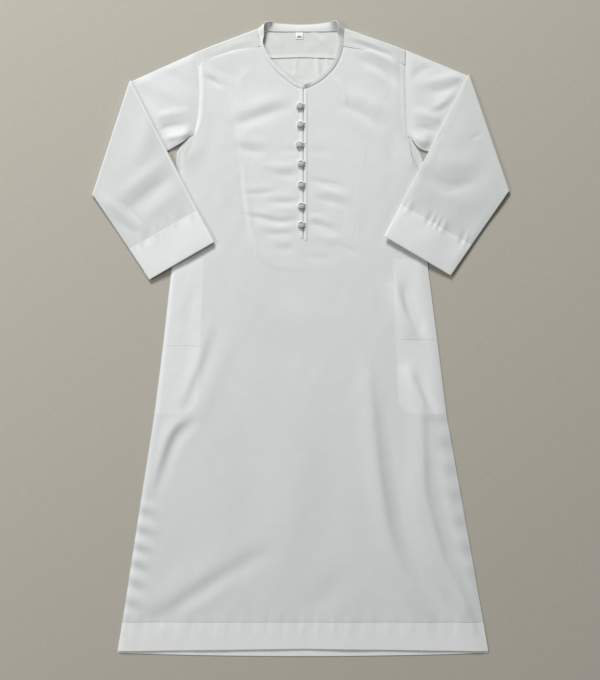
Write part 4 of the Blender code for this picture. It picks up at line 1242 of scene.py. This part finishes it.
# %% Set the band round the neck
COLLAR = np.array([
    # seam x, y, height; free edge x, y, height, from the right of the slit round the back to its left
    (7.3, 549.6, 3.9, 7.5, 562.0, 4.8),
    (24.4, 556.6, 3.9, 22.0, 568.6, 5.0),
    (47.6, 571.2, 3.9, 40.0, 580.6, 5.4),
    (70.0, 592.9, 3.9, 59.6, 600.6, 5.8),
    (84.0, 616.6, 3.9, 72.0, 620.6, 6.4),
    (92.0, 642.6, 3.9, 79.8, 645.0, 7.2),
    (93.6, 662.0, 3.8, 81.4, 668.0, 9.0),
    (95.0, 681.0, 3.2, 80.0, 689.0, 10.6),
    (84.0, 677.6, 1.5, 73.4, 695.6, 8.6),
    (62.0, 676.0, 1.2, 58.0, 695.0, 5.4),
    (30.0, 675.6, 1.1, 29.0, 692.0, 3.8),
    (0.0, 675.6, 1.1, 0.0, 691.0, 3.2),
    (-30.0, 675.6, 1.1, -29.0, 692.0, 3.8),
    (-62.0, 676.0, 1.2, -58.0, 694.0, 5.4),
    (-84.0, 677.6, 1.5, -73.4, 694.6, 8.6),
    (-95.0, 680.0, 3.2, -80.0, 688.0, 10.6),
    (-91.2, 662.0, 3.8, -80.4, 667.0, 9.0),
    (-87.6, 642.6, 3.9, -78.0, 645.0, 7.2),
    (-76.2, 616.8, 3.9, -66.0, 620.6, 6.4),
    (-58.2, 593.0, 3.9, -47.0, 600.6, 5.8),
    (-32.4, 571.2, 3.9, -26.0, 580.6, 5.4),
    (-14.4, 557.2, 3.9, -11.0, 568.6, 5.0),
    (4.1, 549.6, 3.9, 3.9, 562.0, 4.8),
])
WIDER, LIES_BACK = 3.8, 3.2            # mm: how much wider it is in front, how far it drops behind the neck
CORNERS_RISE, END_RISES = (7.5, 3.5), 4.0     # mm: its right and its left corner, and its end beside the slit
seam_line = curve_through(COLLAR[:, 0:3], steps=12)
free_line = curve_through(COLLAR[:, 3:6], steps=12)
outwards = seam_line[:, 0:2] - free_line[:, 0:2]
outwards /= np.linalg.norm(outwards, axis=1)[:, None]
# shares from 0 to 1: in front, behind the neck, at the two corners, at the right end beside the slit
in_front = smooth((664.0 - seam_line[:, 1]) / 14.0)
behind = smooth((seam_line[:, 1] - 668.0) / 6.0) * smooth((76.0 - np.abs(seam_line[:, 0])) / 12.0)
stands = np.exp(-((np.abs(free_line[:, 0]) - 76.0) / 14.0) ** 2) * smooth((free_line[:, 1] - 662.0) / 20.0)
right_end = smooth((30.0 - seam_line[:, 0]) / 24.0) * (seam_line[:, 0] > 5.7) * (seam_line[:, 1] < 570.0)
free_line[:, 0:2] += outwards * WIDER * in_front[:, None]
seam_line[:, 2] += 1.0
free_line[:, 2] += 0.6 - LIES_BACK * behind + END_RISES * right_end
free_line[:, 2] += stands * np.where(seam_line[:, 0] > 0, *CORNERS_RISE)


def collar_place(u, v):
    at = u * (len(seam_line) - 1)
    index = np.arange(len(seam_line))
    seam = np.column_stack([np.interp(at, index, seam_line[:, axis]) for axis in range(3)])
    free = np.column_stack([np.interp(at, index, free_line[:, axis]) for axis in range(3)])
    point = between(seam, free, v[:, None])
    height = np.linalg.norm(free - seam, axis=1)
    back = np.interp(at, index, behind)
    wrinkled = 0.2 + 0.7 * np.interp(at, index, stands)
    point[:, 2] += (0.35 + 0.35 * back) * np.sin(np.pi * v)
    point[:, 2] += wrinkled * waves(point[:, 0], point[:, 1], 26.0, 40.0, seed=31) * v
    return (*point.T, {"from_seam": v * height, "from_free": (1.0 - v) * height})


collar = normals_out(grid("collar", len(seam_line) - 1, 7, collar_place))
thicken(collar, 1.2, offset=0.0)
band_cloth = Cloth("band cloth", tone=(0.73, 0.75, 0.735))
band_cloth.stitched(band_cloth.attribute("from_seam"), 3.0)
band_cloth.stitched(band_cloth.attribute("from_free"), 2.2)
declare(collar, band_cloth.finish(), (0.50, 0.018), ["collar_band"])

# %% [markdown]
# ## The slit's strips, the facing and the pocket bags
# Two narrow bound edges run down the slit: one carries the buttons and the other the loops. Under them
# lies a stand that closes the gap. The facing and the pocket bags lie between the front and the back and
# only show through.

# %% Lay the strips and what lies behind the front
STRIPS = {
    # name: left x, right x, low y, high y, top above the front's, crown, wall
    "button_stand": (-2.6, 14.0, 206.0, 545.0, -0.95, 0.0, 0.8),
    "button_edge": (-2.6, 4.9, 216.2, 547.0, 0.8, 0.5, 0.9),
    "loop_edge": (6.5, 14.0, 211.0, 547.0, 0.6, 0.5, 0.9),
}
LINING = 0.7                          # mm, the wall of what lies behind the front
strip_cloth = Cloth("strip cloth", tone=(0.745, 0.77, 0.76))
strip_cloth.stitched(strip_cloth.attribute("from_side"), 1.3)
strip_finish = strip_cloth.finish(roughness=0.5)


def strip_place(left_x, right_x, low_y, high_y, above, crown):
    def place(u, v):
        x, y = between(left_x, right_x, u), between(low_y, high_y, v)
        ends = smooth(np.minimum(v, 1.0 - v) * 40.0)
        x = x + 0.2 * waves(y, y * 0.0, 60.0, 60.0, seed=5) * ends
        z = front_top(x, y) + above + crown * (1.0 - (2.0 * u - 1.0) ** 2)
        z = z - 1.9 * smooth((low_y + 7.0 - y) / 7.0)
        return x, y, z, {"from_side": np.minimum(u, 1.0 - u) * (right_x - left_x)}
    return place


strips = {}
for name, (*place, wall) in STRIPS.items():
    strips[name] = thicken(normals_out(grid(name + "_cloth", 10, 120, strip_place(*place))), wall)
declare(strips["button_stand"], strip_finish, (0.0176, 0.341), ["button_stand"])
for name in ("button_edge", "loop_edge"):
    dress(strips[name], strip_finish, [name])
declare(front, front_finish(), (0.84, 1.42), ["front_panel", "hem_front"],
        front_area)

FACING_ROWS = np.array([
    # outer y, left x, right x, inner y
    (153.0, -36.0, 40.0, 152.0),
    (161.0, -66.0, 70.0, 158.0),
    (182.0, -99.0, 101.0, 174.0),
    (205.0, -116.0, 121.0, 195.0),
    (216.0, -117.5, 122.5, 205.6),
    (240.0, -121.0, 127.0, 232.0),
    (284.0, -125.4, 129.5, 284.0),
    (367.0, -132.0, 134.2, 367.0),
    (460.0, -140.0, 146.0, 455.0),
    (515.0, -152.0, 164.0, 510.0),
    (545.0, -160.0, 174.0, 546.0),
    (562.0, -163.0, 178.0, 562.0),
    (578.0, -166.0, 182.0, 584.0),
    (590.0, -168.0, 185.0, 608.0),
    (602.0, -170.0, 188.0, 632.0),
])


def facing_place(side):
    def place(u, v):
        rows = np.column_stack([np.arange(len(FACING_ROWS)), FACING_ROWS])
        row = v * (len(rows) - 1)
        outer_y, left_x, right_x, inner_y = (read_off(rows, row, column) for column in (1, 2, 3, 4))
        beside = STRIPS["button_stand"][0] - 0.4 if side < 0 else STRIPS["button_stand"][1] + 0.4
        neck = read_off(NECKLINE, inner_y, 1 if side < 0 else 2) + side * 1.5
        stand_low, stand_high = STRIPS["button_stand"][2] - 1.0, STRIPS["button_stand"][3] + 3.0
        inner_x = np.where(inner_y < stand_low, SLIT_X, np.where(inner_y < stand_high, beside, neck))
        x = between(left_x if side < 0 else right_x, inner_x, u)
        y = between(outer_y, inner_y, u)
        return x, y, front_top(x, y) - 1.0
    return place


lining_finish = Cloth("lining cloth", tone=(0.74, 0.76, 0.745)).finish()
facing = join("facing", [normals_out(grid("facing", 24, 56, facing_place(side))) for side in (-1, 1)],
              weld=0.0001)
facing_area = area_of(facing)
thicken(facing, LINING)
declare(facing, lining_finish, (0.36, 0.48), ["chest_facing"], facing_area)

POCKET_ROWS = np.array([
    # y, left inner x, right inner x
    (-164.0, -262.0, 250.0),
    (-158.0, -240.0, 228.0),
    (-140.0, -226.0, 214.5),
    (-60.0, -222.0, 211.0),
    (60.0, -218.0, 206.0),
    (176.0, -214.0, 202.0),
])


def pocket_place(side):
    def place(u, v):
        y = between(POCKET_ROWS[0, 0], POCKET_ROWS[-1, 0], v)
        inner_x = read_off(POCKET_ROWS, y, 1 if side < 0 else 2)
        x = between(edge_x(side, y) - side * 15.0, inner_x, u)
        return x, y, front_top(x, y) - 1.0
    return place


for side, word in ((-1, "left"), (1, "right")):
    pocket = thicken(normals_out(grid("pocket_cloth_" + word, 16, 64, pocket_place(side))), LINING)
    declare(pocket, lining_finish, (0.086, 0.342), ["pocket_bag_" + word])

# %% [markdown]
# ## Knotted buttons
# Each button is a ball knotted from a length of cord. The cord's way round the ball is a closed winding
# that weaves over and under itself. A tube is drawn along that way, three strands twisted together, over
# a small core; the ball is then copied to each place and turned a little.

# %% Cord along a way
STRANDS = 3


def cord_mesh(name, route, radius, sides=12, closed=True, twist=0.9):
    """A twisted cord along a route in mm. Its strands show as grooves, which a greater twist turns more."""
    route = np.asarray(route, float)
    ahead = np.roll(route, -1, axis=0) if closed else np.vstack([route[1:], 2 * route[-1] - route[-2]])
    behind = np.roll(route, 1, axis=0) if closed else np.vstack([2 * route[0] - route[1], route[:-1]])
    tangent = ahead - behind
    tangent /= np.linalg.norm(tangent, axis=1)[:, None]
    run = np.concatenate([[0.0], np.cumsum(np.linalg.norm(np.diff(route, axis=0), axis=1))])
    normals = [np.cross(tangent[0], (0.3, 0.2, 1.0))]
    for here in tangent[1:]:
        last = normals[-1] - here * (normals[-1] @ here)
        normals.append(last / np.linalg.norm(last))
    normal = np.array(normals)
    normal /= np.linalg.norm(normal, axis=1)[:, None]
    other = np.cross(tangent, normal)
    angle = np.linspace(0.0, 2.0 * np.pi, sides, endpoint=False)
    groove = np.abs(np.cos(STRANDS / 2.0 * (angle[None, :] - twist * run[:, None] / radius)))
    reach = radius * (0.84 + 0.16 * groove)
    rings = (route[:, None, :] + normal[:, None, :] * (np.cos(angle) * reach)[:, :, None]
             + other[:, None, :] * (np.sin(angle) * reach)[:, :, None])
    mesh = bpy.data.meshes.new(name)
    count = len(route)
    faces = []
    for ring in range(count if closed else count - 1):
        for step in range(sides):
            a, b = ring * sides + step, ring * sides + (step + 1) % sides
            following = ((ring + 1) % count) * sides
            faces.append((a, b, following + (step + 1) % sides, following + step))
    if not closed:
        faces += [tuple(range(sides))[::-1], tuple(range((count - 1) * sides, count * sides))]
    mesh.from_pydata((rings.reshape(-1, 3) * MM).tolist(), [], faces)
    mesh.validate()
    made = bpy.data.objects.new(name, mesh)
    bpy.context.scene.collection.objects.link(made)
    shell = bmesh.new()
    shell.from_mesh(mesh)
    bmesh.ops.recalc_face_normals(shell, faces=shell.faces)
    shell.to_mesh(mesh)
    shell.free()
    mesh.shade_smooth()
    return made


print("cord maker ready:", STRANDS, "strands")

# %% [markdown]
# ## Tying the buttons
# The winding goes three times round the ball while it sways seven times from pole to pole, which closes
# it into a woven knot. The ball is pressed a little flat, as cloth buttons are, and the core keeps any
# gap between the strands from showing through.

# %% Tie one button and copy it
BALL = (5.8, 4.1, 2.7)        # mm, half sizes of the ball that the cord's middle follows
BALL_UP = 9.7                 # mm, how high its middle is
WINDINGS, LOBES = 3, 7        # times round the ball, and lobes of the weave
BUTTONS = 7
BUTTON_CORD, LOOP_CORD = 1.4, 1.35     # mm, the cords' radii


def knot_route(steps=420):
    """The cord's closed way round the ball, in and out as it passes over and under itself."""
    turn = np.linspace(0.0, 2.0 * np.pi * WINDINGS, steps, endpoint=False)
    lean = np.sin(turn * LOBES / WINDINGS) * 1.16
    weave = 1.0 + 0.10 * np.cos(turn * LOBES / WINDINGS * 2.0 + 0.6)
    direction = np.column_stack([np.cos(turn) * np.cos(lean), np.sin(turn) * np.cos(lean), np.sin(lean)])
    return direction * weave[:, None] * np.array(BALL)


cord_shade = Shade("button cord")
cord_places, _ = cord_shade.places()
fibre = cord_shade.noise(cord_places, 1.6, 4.0)
cord_colour = cord_shade.mix(fibre, (0.29, 0.31, 0.30, 1.0), (0.62, 0.65, 0.63, 1.0))
cord_shade.cover(cord_colour, fibre * 0.2 + 0.38, fibre, 0.6, 0.4 * MM)
cord_shade.surface.inputs["Sheen Weight"].default_value = 0.3


def middle_of(node):
    """The middle of a solid's box, in mm."""
    low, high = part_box(node)
    return (low + high) / 2.0 / MM


route = knot_route()
for index in range(BUTTONS):
    centre = middle_of(f"button_{index + 1}")
    centre.z = BALL_UP
    turn = math.radians(3.0 * (index % 3))
    turned = np.column_stack([route[:, 0] * math.cos(turn) - route[:, 1] * math.sin(turn),
                              route[:, 0] * math.sin(turn) + route[:, 1] * math.cos(turn), route[:, 2]])
    knot = cord_mesh(f"knot_{index + 1}", turned + np.array(centre), BUTTON_CORD, sides=10)
    select()
    bpy.ops.mesh.primitive_uv_sphere_add(segments=24, ring_count=14, radius=1.0)
    core = bpy.context.object
    for vertex in core.data.vertices:
        vertex.co = Vector((centre[axis] + vertex.co[axis] * (BALL[axis] - 0.5)) * MM for axis in range(3))
    core.data.shade_smooth()
    select(knot, core)
    bpy.ops.object.join()
    dress(knot, cord_shade.material, [f"button_{index + 1}"])
cord_length = np.linalg.norm(np.diff(route, axis=0), axis=1).sum()
print("buttons tied:", BUTTONS, "with about", round(cord_length), "mm of cord in each")

# %% [markdown]
# ## Cord loops
# A white cord loop is sewn to the other edge for each button and goes round its foot. The same cord maker
# draws it, open at both ends, which are sewn down on the loop edge.

# %% Sew on the loops
loop_finish = Cloth("loop cord", tone=(0.86, 0.88, 0.86)).finish(roughness=0.5)
SEWN_X, SEWN_APART = 9.6, 2.6          # mm, where a loop's ends are sewn down, and how far from its middle
LOOP_WIDE, LOOP_HIGH = 7.9, 6.7        # mm, half sizes of the ring round a button's foot
for index in range(BUTTONS):
    sewn = middle_of(f"button_loop_{index + 1}")
    centre_x, centre_y, level = middle_of(f"button_{index + 1}").x, sewn.y + 1.9, sewn.z
    angles = np.radians(np.linspace(30.0, 330.0, 40))
    ring = np.column_stack([centre_x + LOOP_WIDE * np.cos(angles), centre_y + LOOP_HIGH * np.sin(angles),
                            level + 1.4 + 0.6 * np.sin(angles)])
    first, last = ([(SEWN_X, centre_y + apart, level - 1.3)] for apart in (SEWN_APART, -SEWN_APART))
    way = curve_through(np.vstack([first, ring[::3], ring[-1:], last]), steps=5)
    loop = cord_mesh(f"loop_{index + 1}", way, LOOP_CORD, closed=False, twist=0.7)
    dress(loop, loop_finish, [f"button_loop_{index + 1}"])
print("loops sewn:", BUTTONS)

# %% [markdown]
# ## The size tab
# A small woven tab is sewn inside the back of the neck. It carries no words here, only a plain woven bar.

# %% Weave the tab
tab_low, tab_high = (corner_point / MM for corner_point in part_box("size_tab"))


def tab_place(u, v):
    x, y = between(tab_low.x, tab_high.x, u), between(tab_low.y, tab_high.y, v)
    return x, y, tab_low.z + 0.6 + 0.5 * np.sin(np.pi * v) + 0.15 * np.sin(u * 9.0)


tab = thicken(normals_out(grid("tab_cloth", 16, 16, tab_place)), 0.5)
tab_shade = Shade("woven tab")
_, (tab_x, tab_y, _) = tab_shade.places()
tab_middle = (tab_low.x + tab_high.x) / 2.0


def patch(x, half_x, y, half_y):
    """1 on a small upright rectangle of the tab, and 0 elsewhere."""
    return (tab_x - x).size().less(half_x) * (tab_y - y).size().less(half_y)


bar = patch(tab_middle + 0.3, 4.6, tab_low.y + 4.6, 1.9)
mark = patch(tab_middle, 0.9, tab_high.y - 4.0, 1.6)
weave = (tab_x * 9.0).sine() * (tab_y * 9.0).sine()
tab_colour = tab_shade.mix(mark * 0.3, (0.86, 0.87, 0.85, 1.0), (0.35, 0.36, 0.36, 1.0))
tab_colour = tab_shade.mix(bar * 0.85, tab_colour, (0.10, 0.11, 0.12, 1.0))
tab_shade.cover(tab_colour, weave * 0.05 + 0.5, weave * 0.3 + bar * 0.4, 0.5, 0.4 * MM)
declare(tab, tab_shade.material, (0.0160, 0.0152), ["size_tab"])

# %% [markdown]
# ## The surface, the light and the camera
# The robe lies on a plain pale surface. One large soft light stands beyond the collar, so every ridge is
# bright on its collar side and shaded on its hem side, and an even sky fills the shadows. The camera
# looks straight down.

# %% Floor, light and camera
select()
bpy.ops.mesh.primitive_plane_add(size=6.0, location=(0.0, 0.0, 0.0))
floor = bpy.context.object
floor.name = "floor"
for vertex in floor.data.vertices:
    vertex.co.z = -0.4 * MM
floor_shade = Shade("plain surface")
floor_places, _ = floor_shade.places()
grain = floor_shade.noise(floor_places, 0.3, 5.0)


def threads(stretch):
    """Long streaks of noise: the noise's places are stretched by a different amount along x and y."""
    sockets = {0: floor_places, 1: stretch}
    stretched = floor_shade.node("ShaderNodeVectorMath", {"operation": "MULTIPLY"}, sockets)
    return floor_shade.noise(stretched, 1.0, 3.0)


weave = (threads((0.05, 0.6, 0.0)) + threads((0.6, 0.05, 0.0))) * 0.5
FLOOR, FLOOR_THREADS = (0.505, 0.475, 0.415, 1.0), (0.36, 0.338, 0.29, 1.0)
floor_colour = floor_shade.mix(weave * 0.8 + grain * 0.1, FLOOR, FLOOR_THREADS)
floor_shade.cover(floor_colour, grain * 0.1 + 0.8, weave + grain * 0.4, 0.4, 0.6 * MM)
floor.data.materials.append(floor_shade.material)
floor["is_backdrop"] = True

scene = bpy.context.scene
world = bpy.data.worlds.new("even sky")
world.use_nodes = True
world.node_tree.nodes["Background"].inputs["Color"].default_value = (0.93, 0.97, 1.0, 1.0)
world.node_tree.nodes["Background"].inputs["Strength"].default_value = 0.21
scene.world = world
scene.view_settings.view_transform = "Standard"


def soft_light(name, place, aim, size, power, colour):
    """A rectangular light of this size in metres, turned to face the aim."""
    select()
    bpy.ops.object.light_add(type="AREA", location=place)
    light = bpy.context.object
    light.name = name
    light.data.shape = "RECTANGLE"
    light.data.size, light.data.size_y = size
    light.data.energy = power
    light.data.color = colour
    light.rotation_euler = (Vector(aim) - Vector(place)).to_track_quat("-Z", "Y").to_euler()
    return light


soft_light("window", (-1.5, 4.8, 3.2), (0.0, 0.1, 0.0), (2.0, 1.4), 342.0, (1.0, 0.985, 0.96))
soft_light("side of the room", (-3.2, 0.2, 3.0), (0.0, 0.0, 0.0), (2.0, 2.0), 56.0, (1.0, 0.99, 0.97))

MIDDLE = (-0.002, -0.002)
CAMERA_HEIGHT = 2.2
FRAME_HEIGHT = 1.496
bpy.ops.object.camera_add(location=(MIDDLE[0], MIDDLE[1], CAMERA_HEIGHT), rotation=(0.0, 0.0, 0.0))
camera = bpy.context.object
camera.data.sensor_fit = "VERTICAL"
camera.data.sensor_height = 36.0
camera.data.lens = 36.0 * CAMERA_HEIGHT / FRAME_HEIGHT
camera.data.clip_end = 20.0
scene.camera = camera
print("camera", round(CAMERA_HEIGHT, 2), "m up, lens", round(camera.data.lens, 1), "mm")

# %% Write the sizes and finish
look_low, look_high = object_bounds()
grown = [round(float(value) / MM, 1) for value in (*(cad_low - look_low), *(look_high - cad_high))]
print("grown beyond the solid model, mm:", grown)
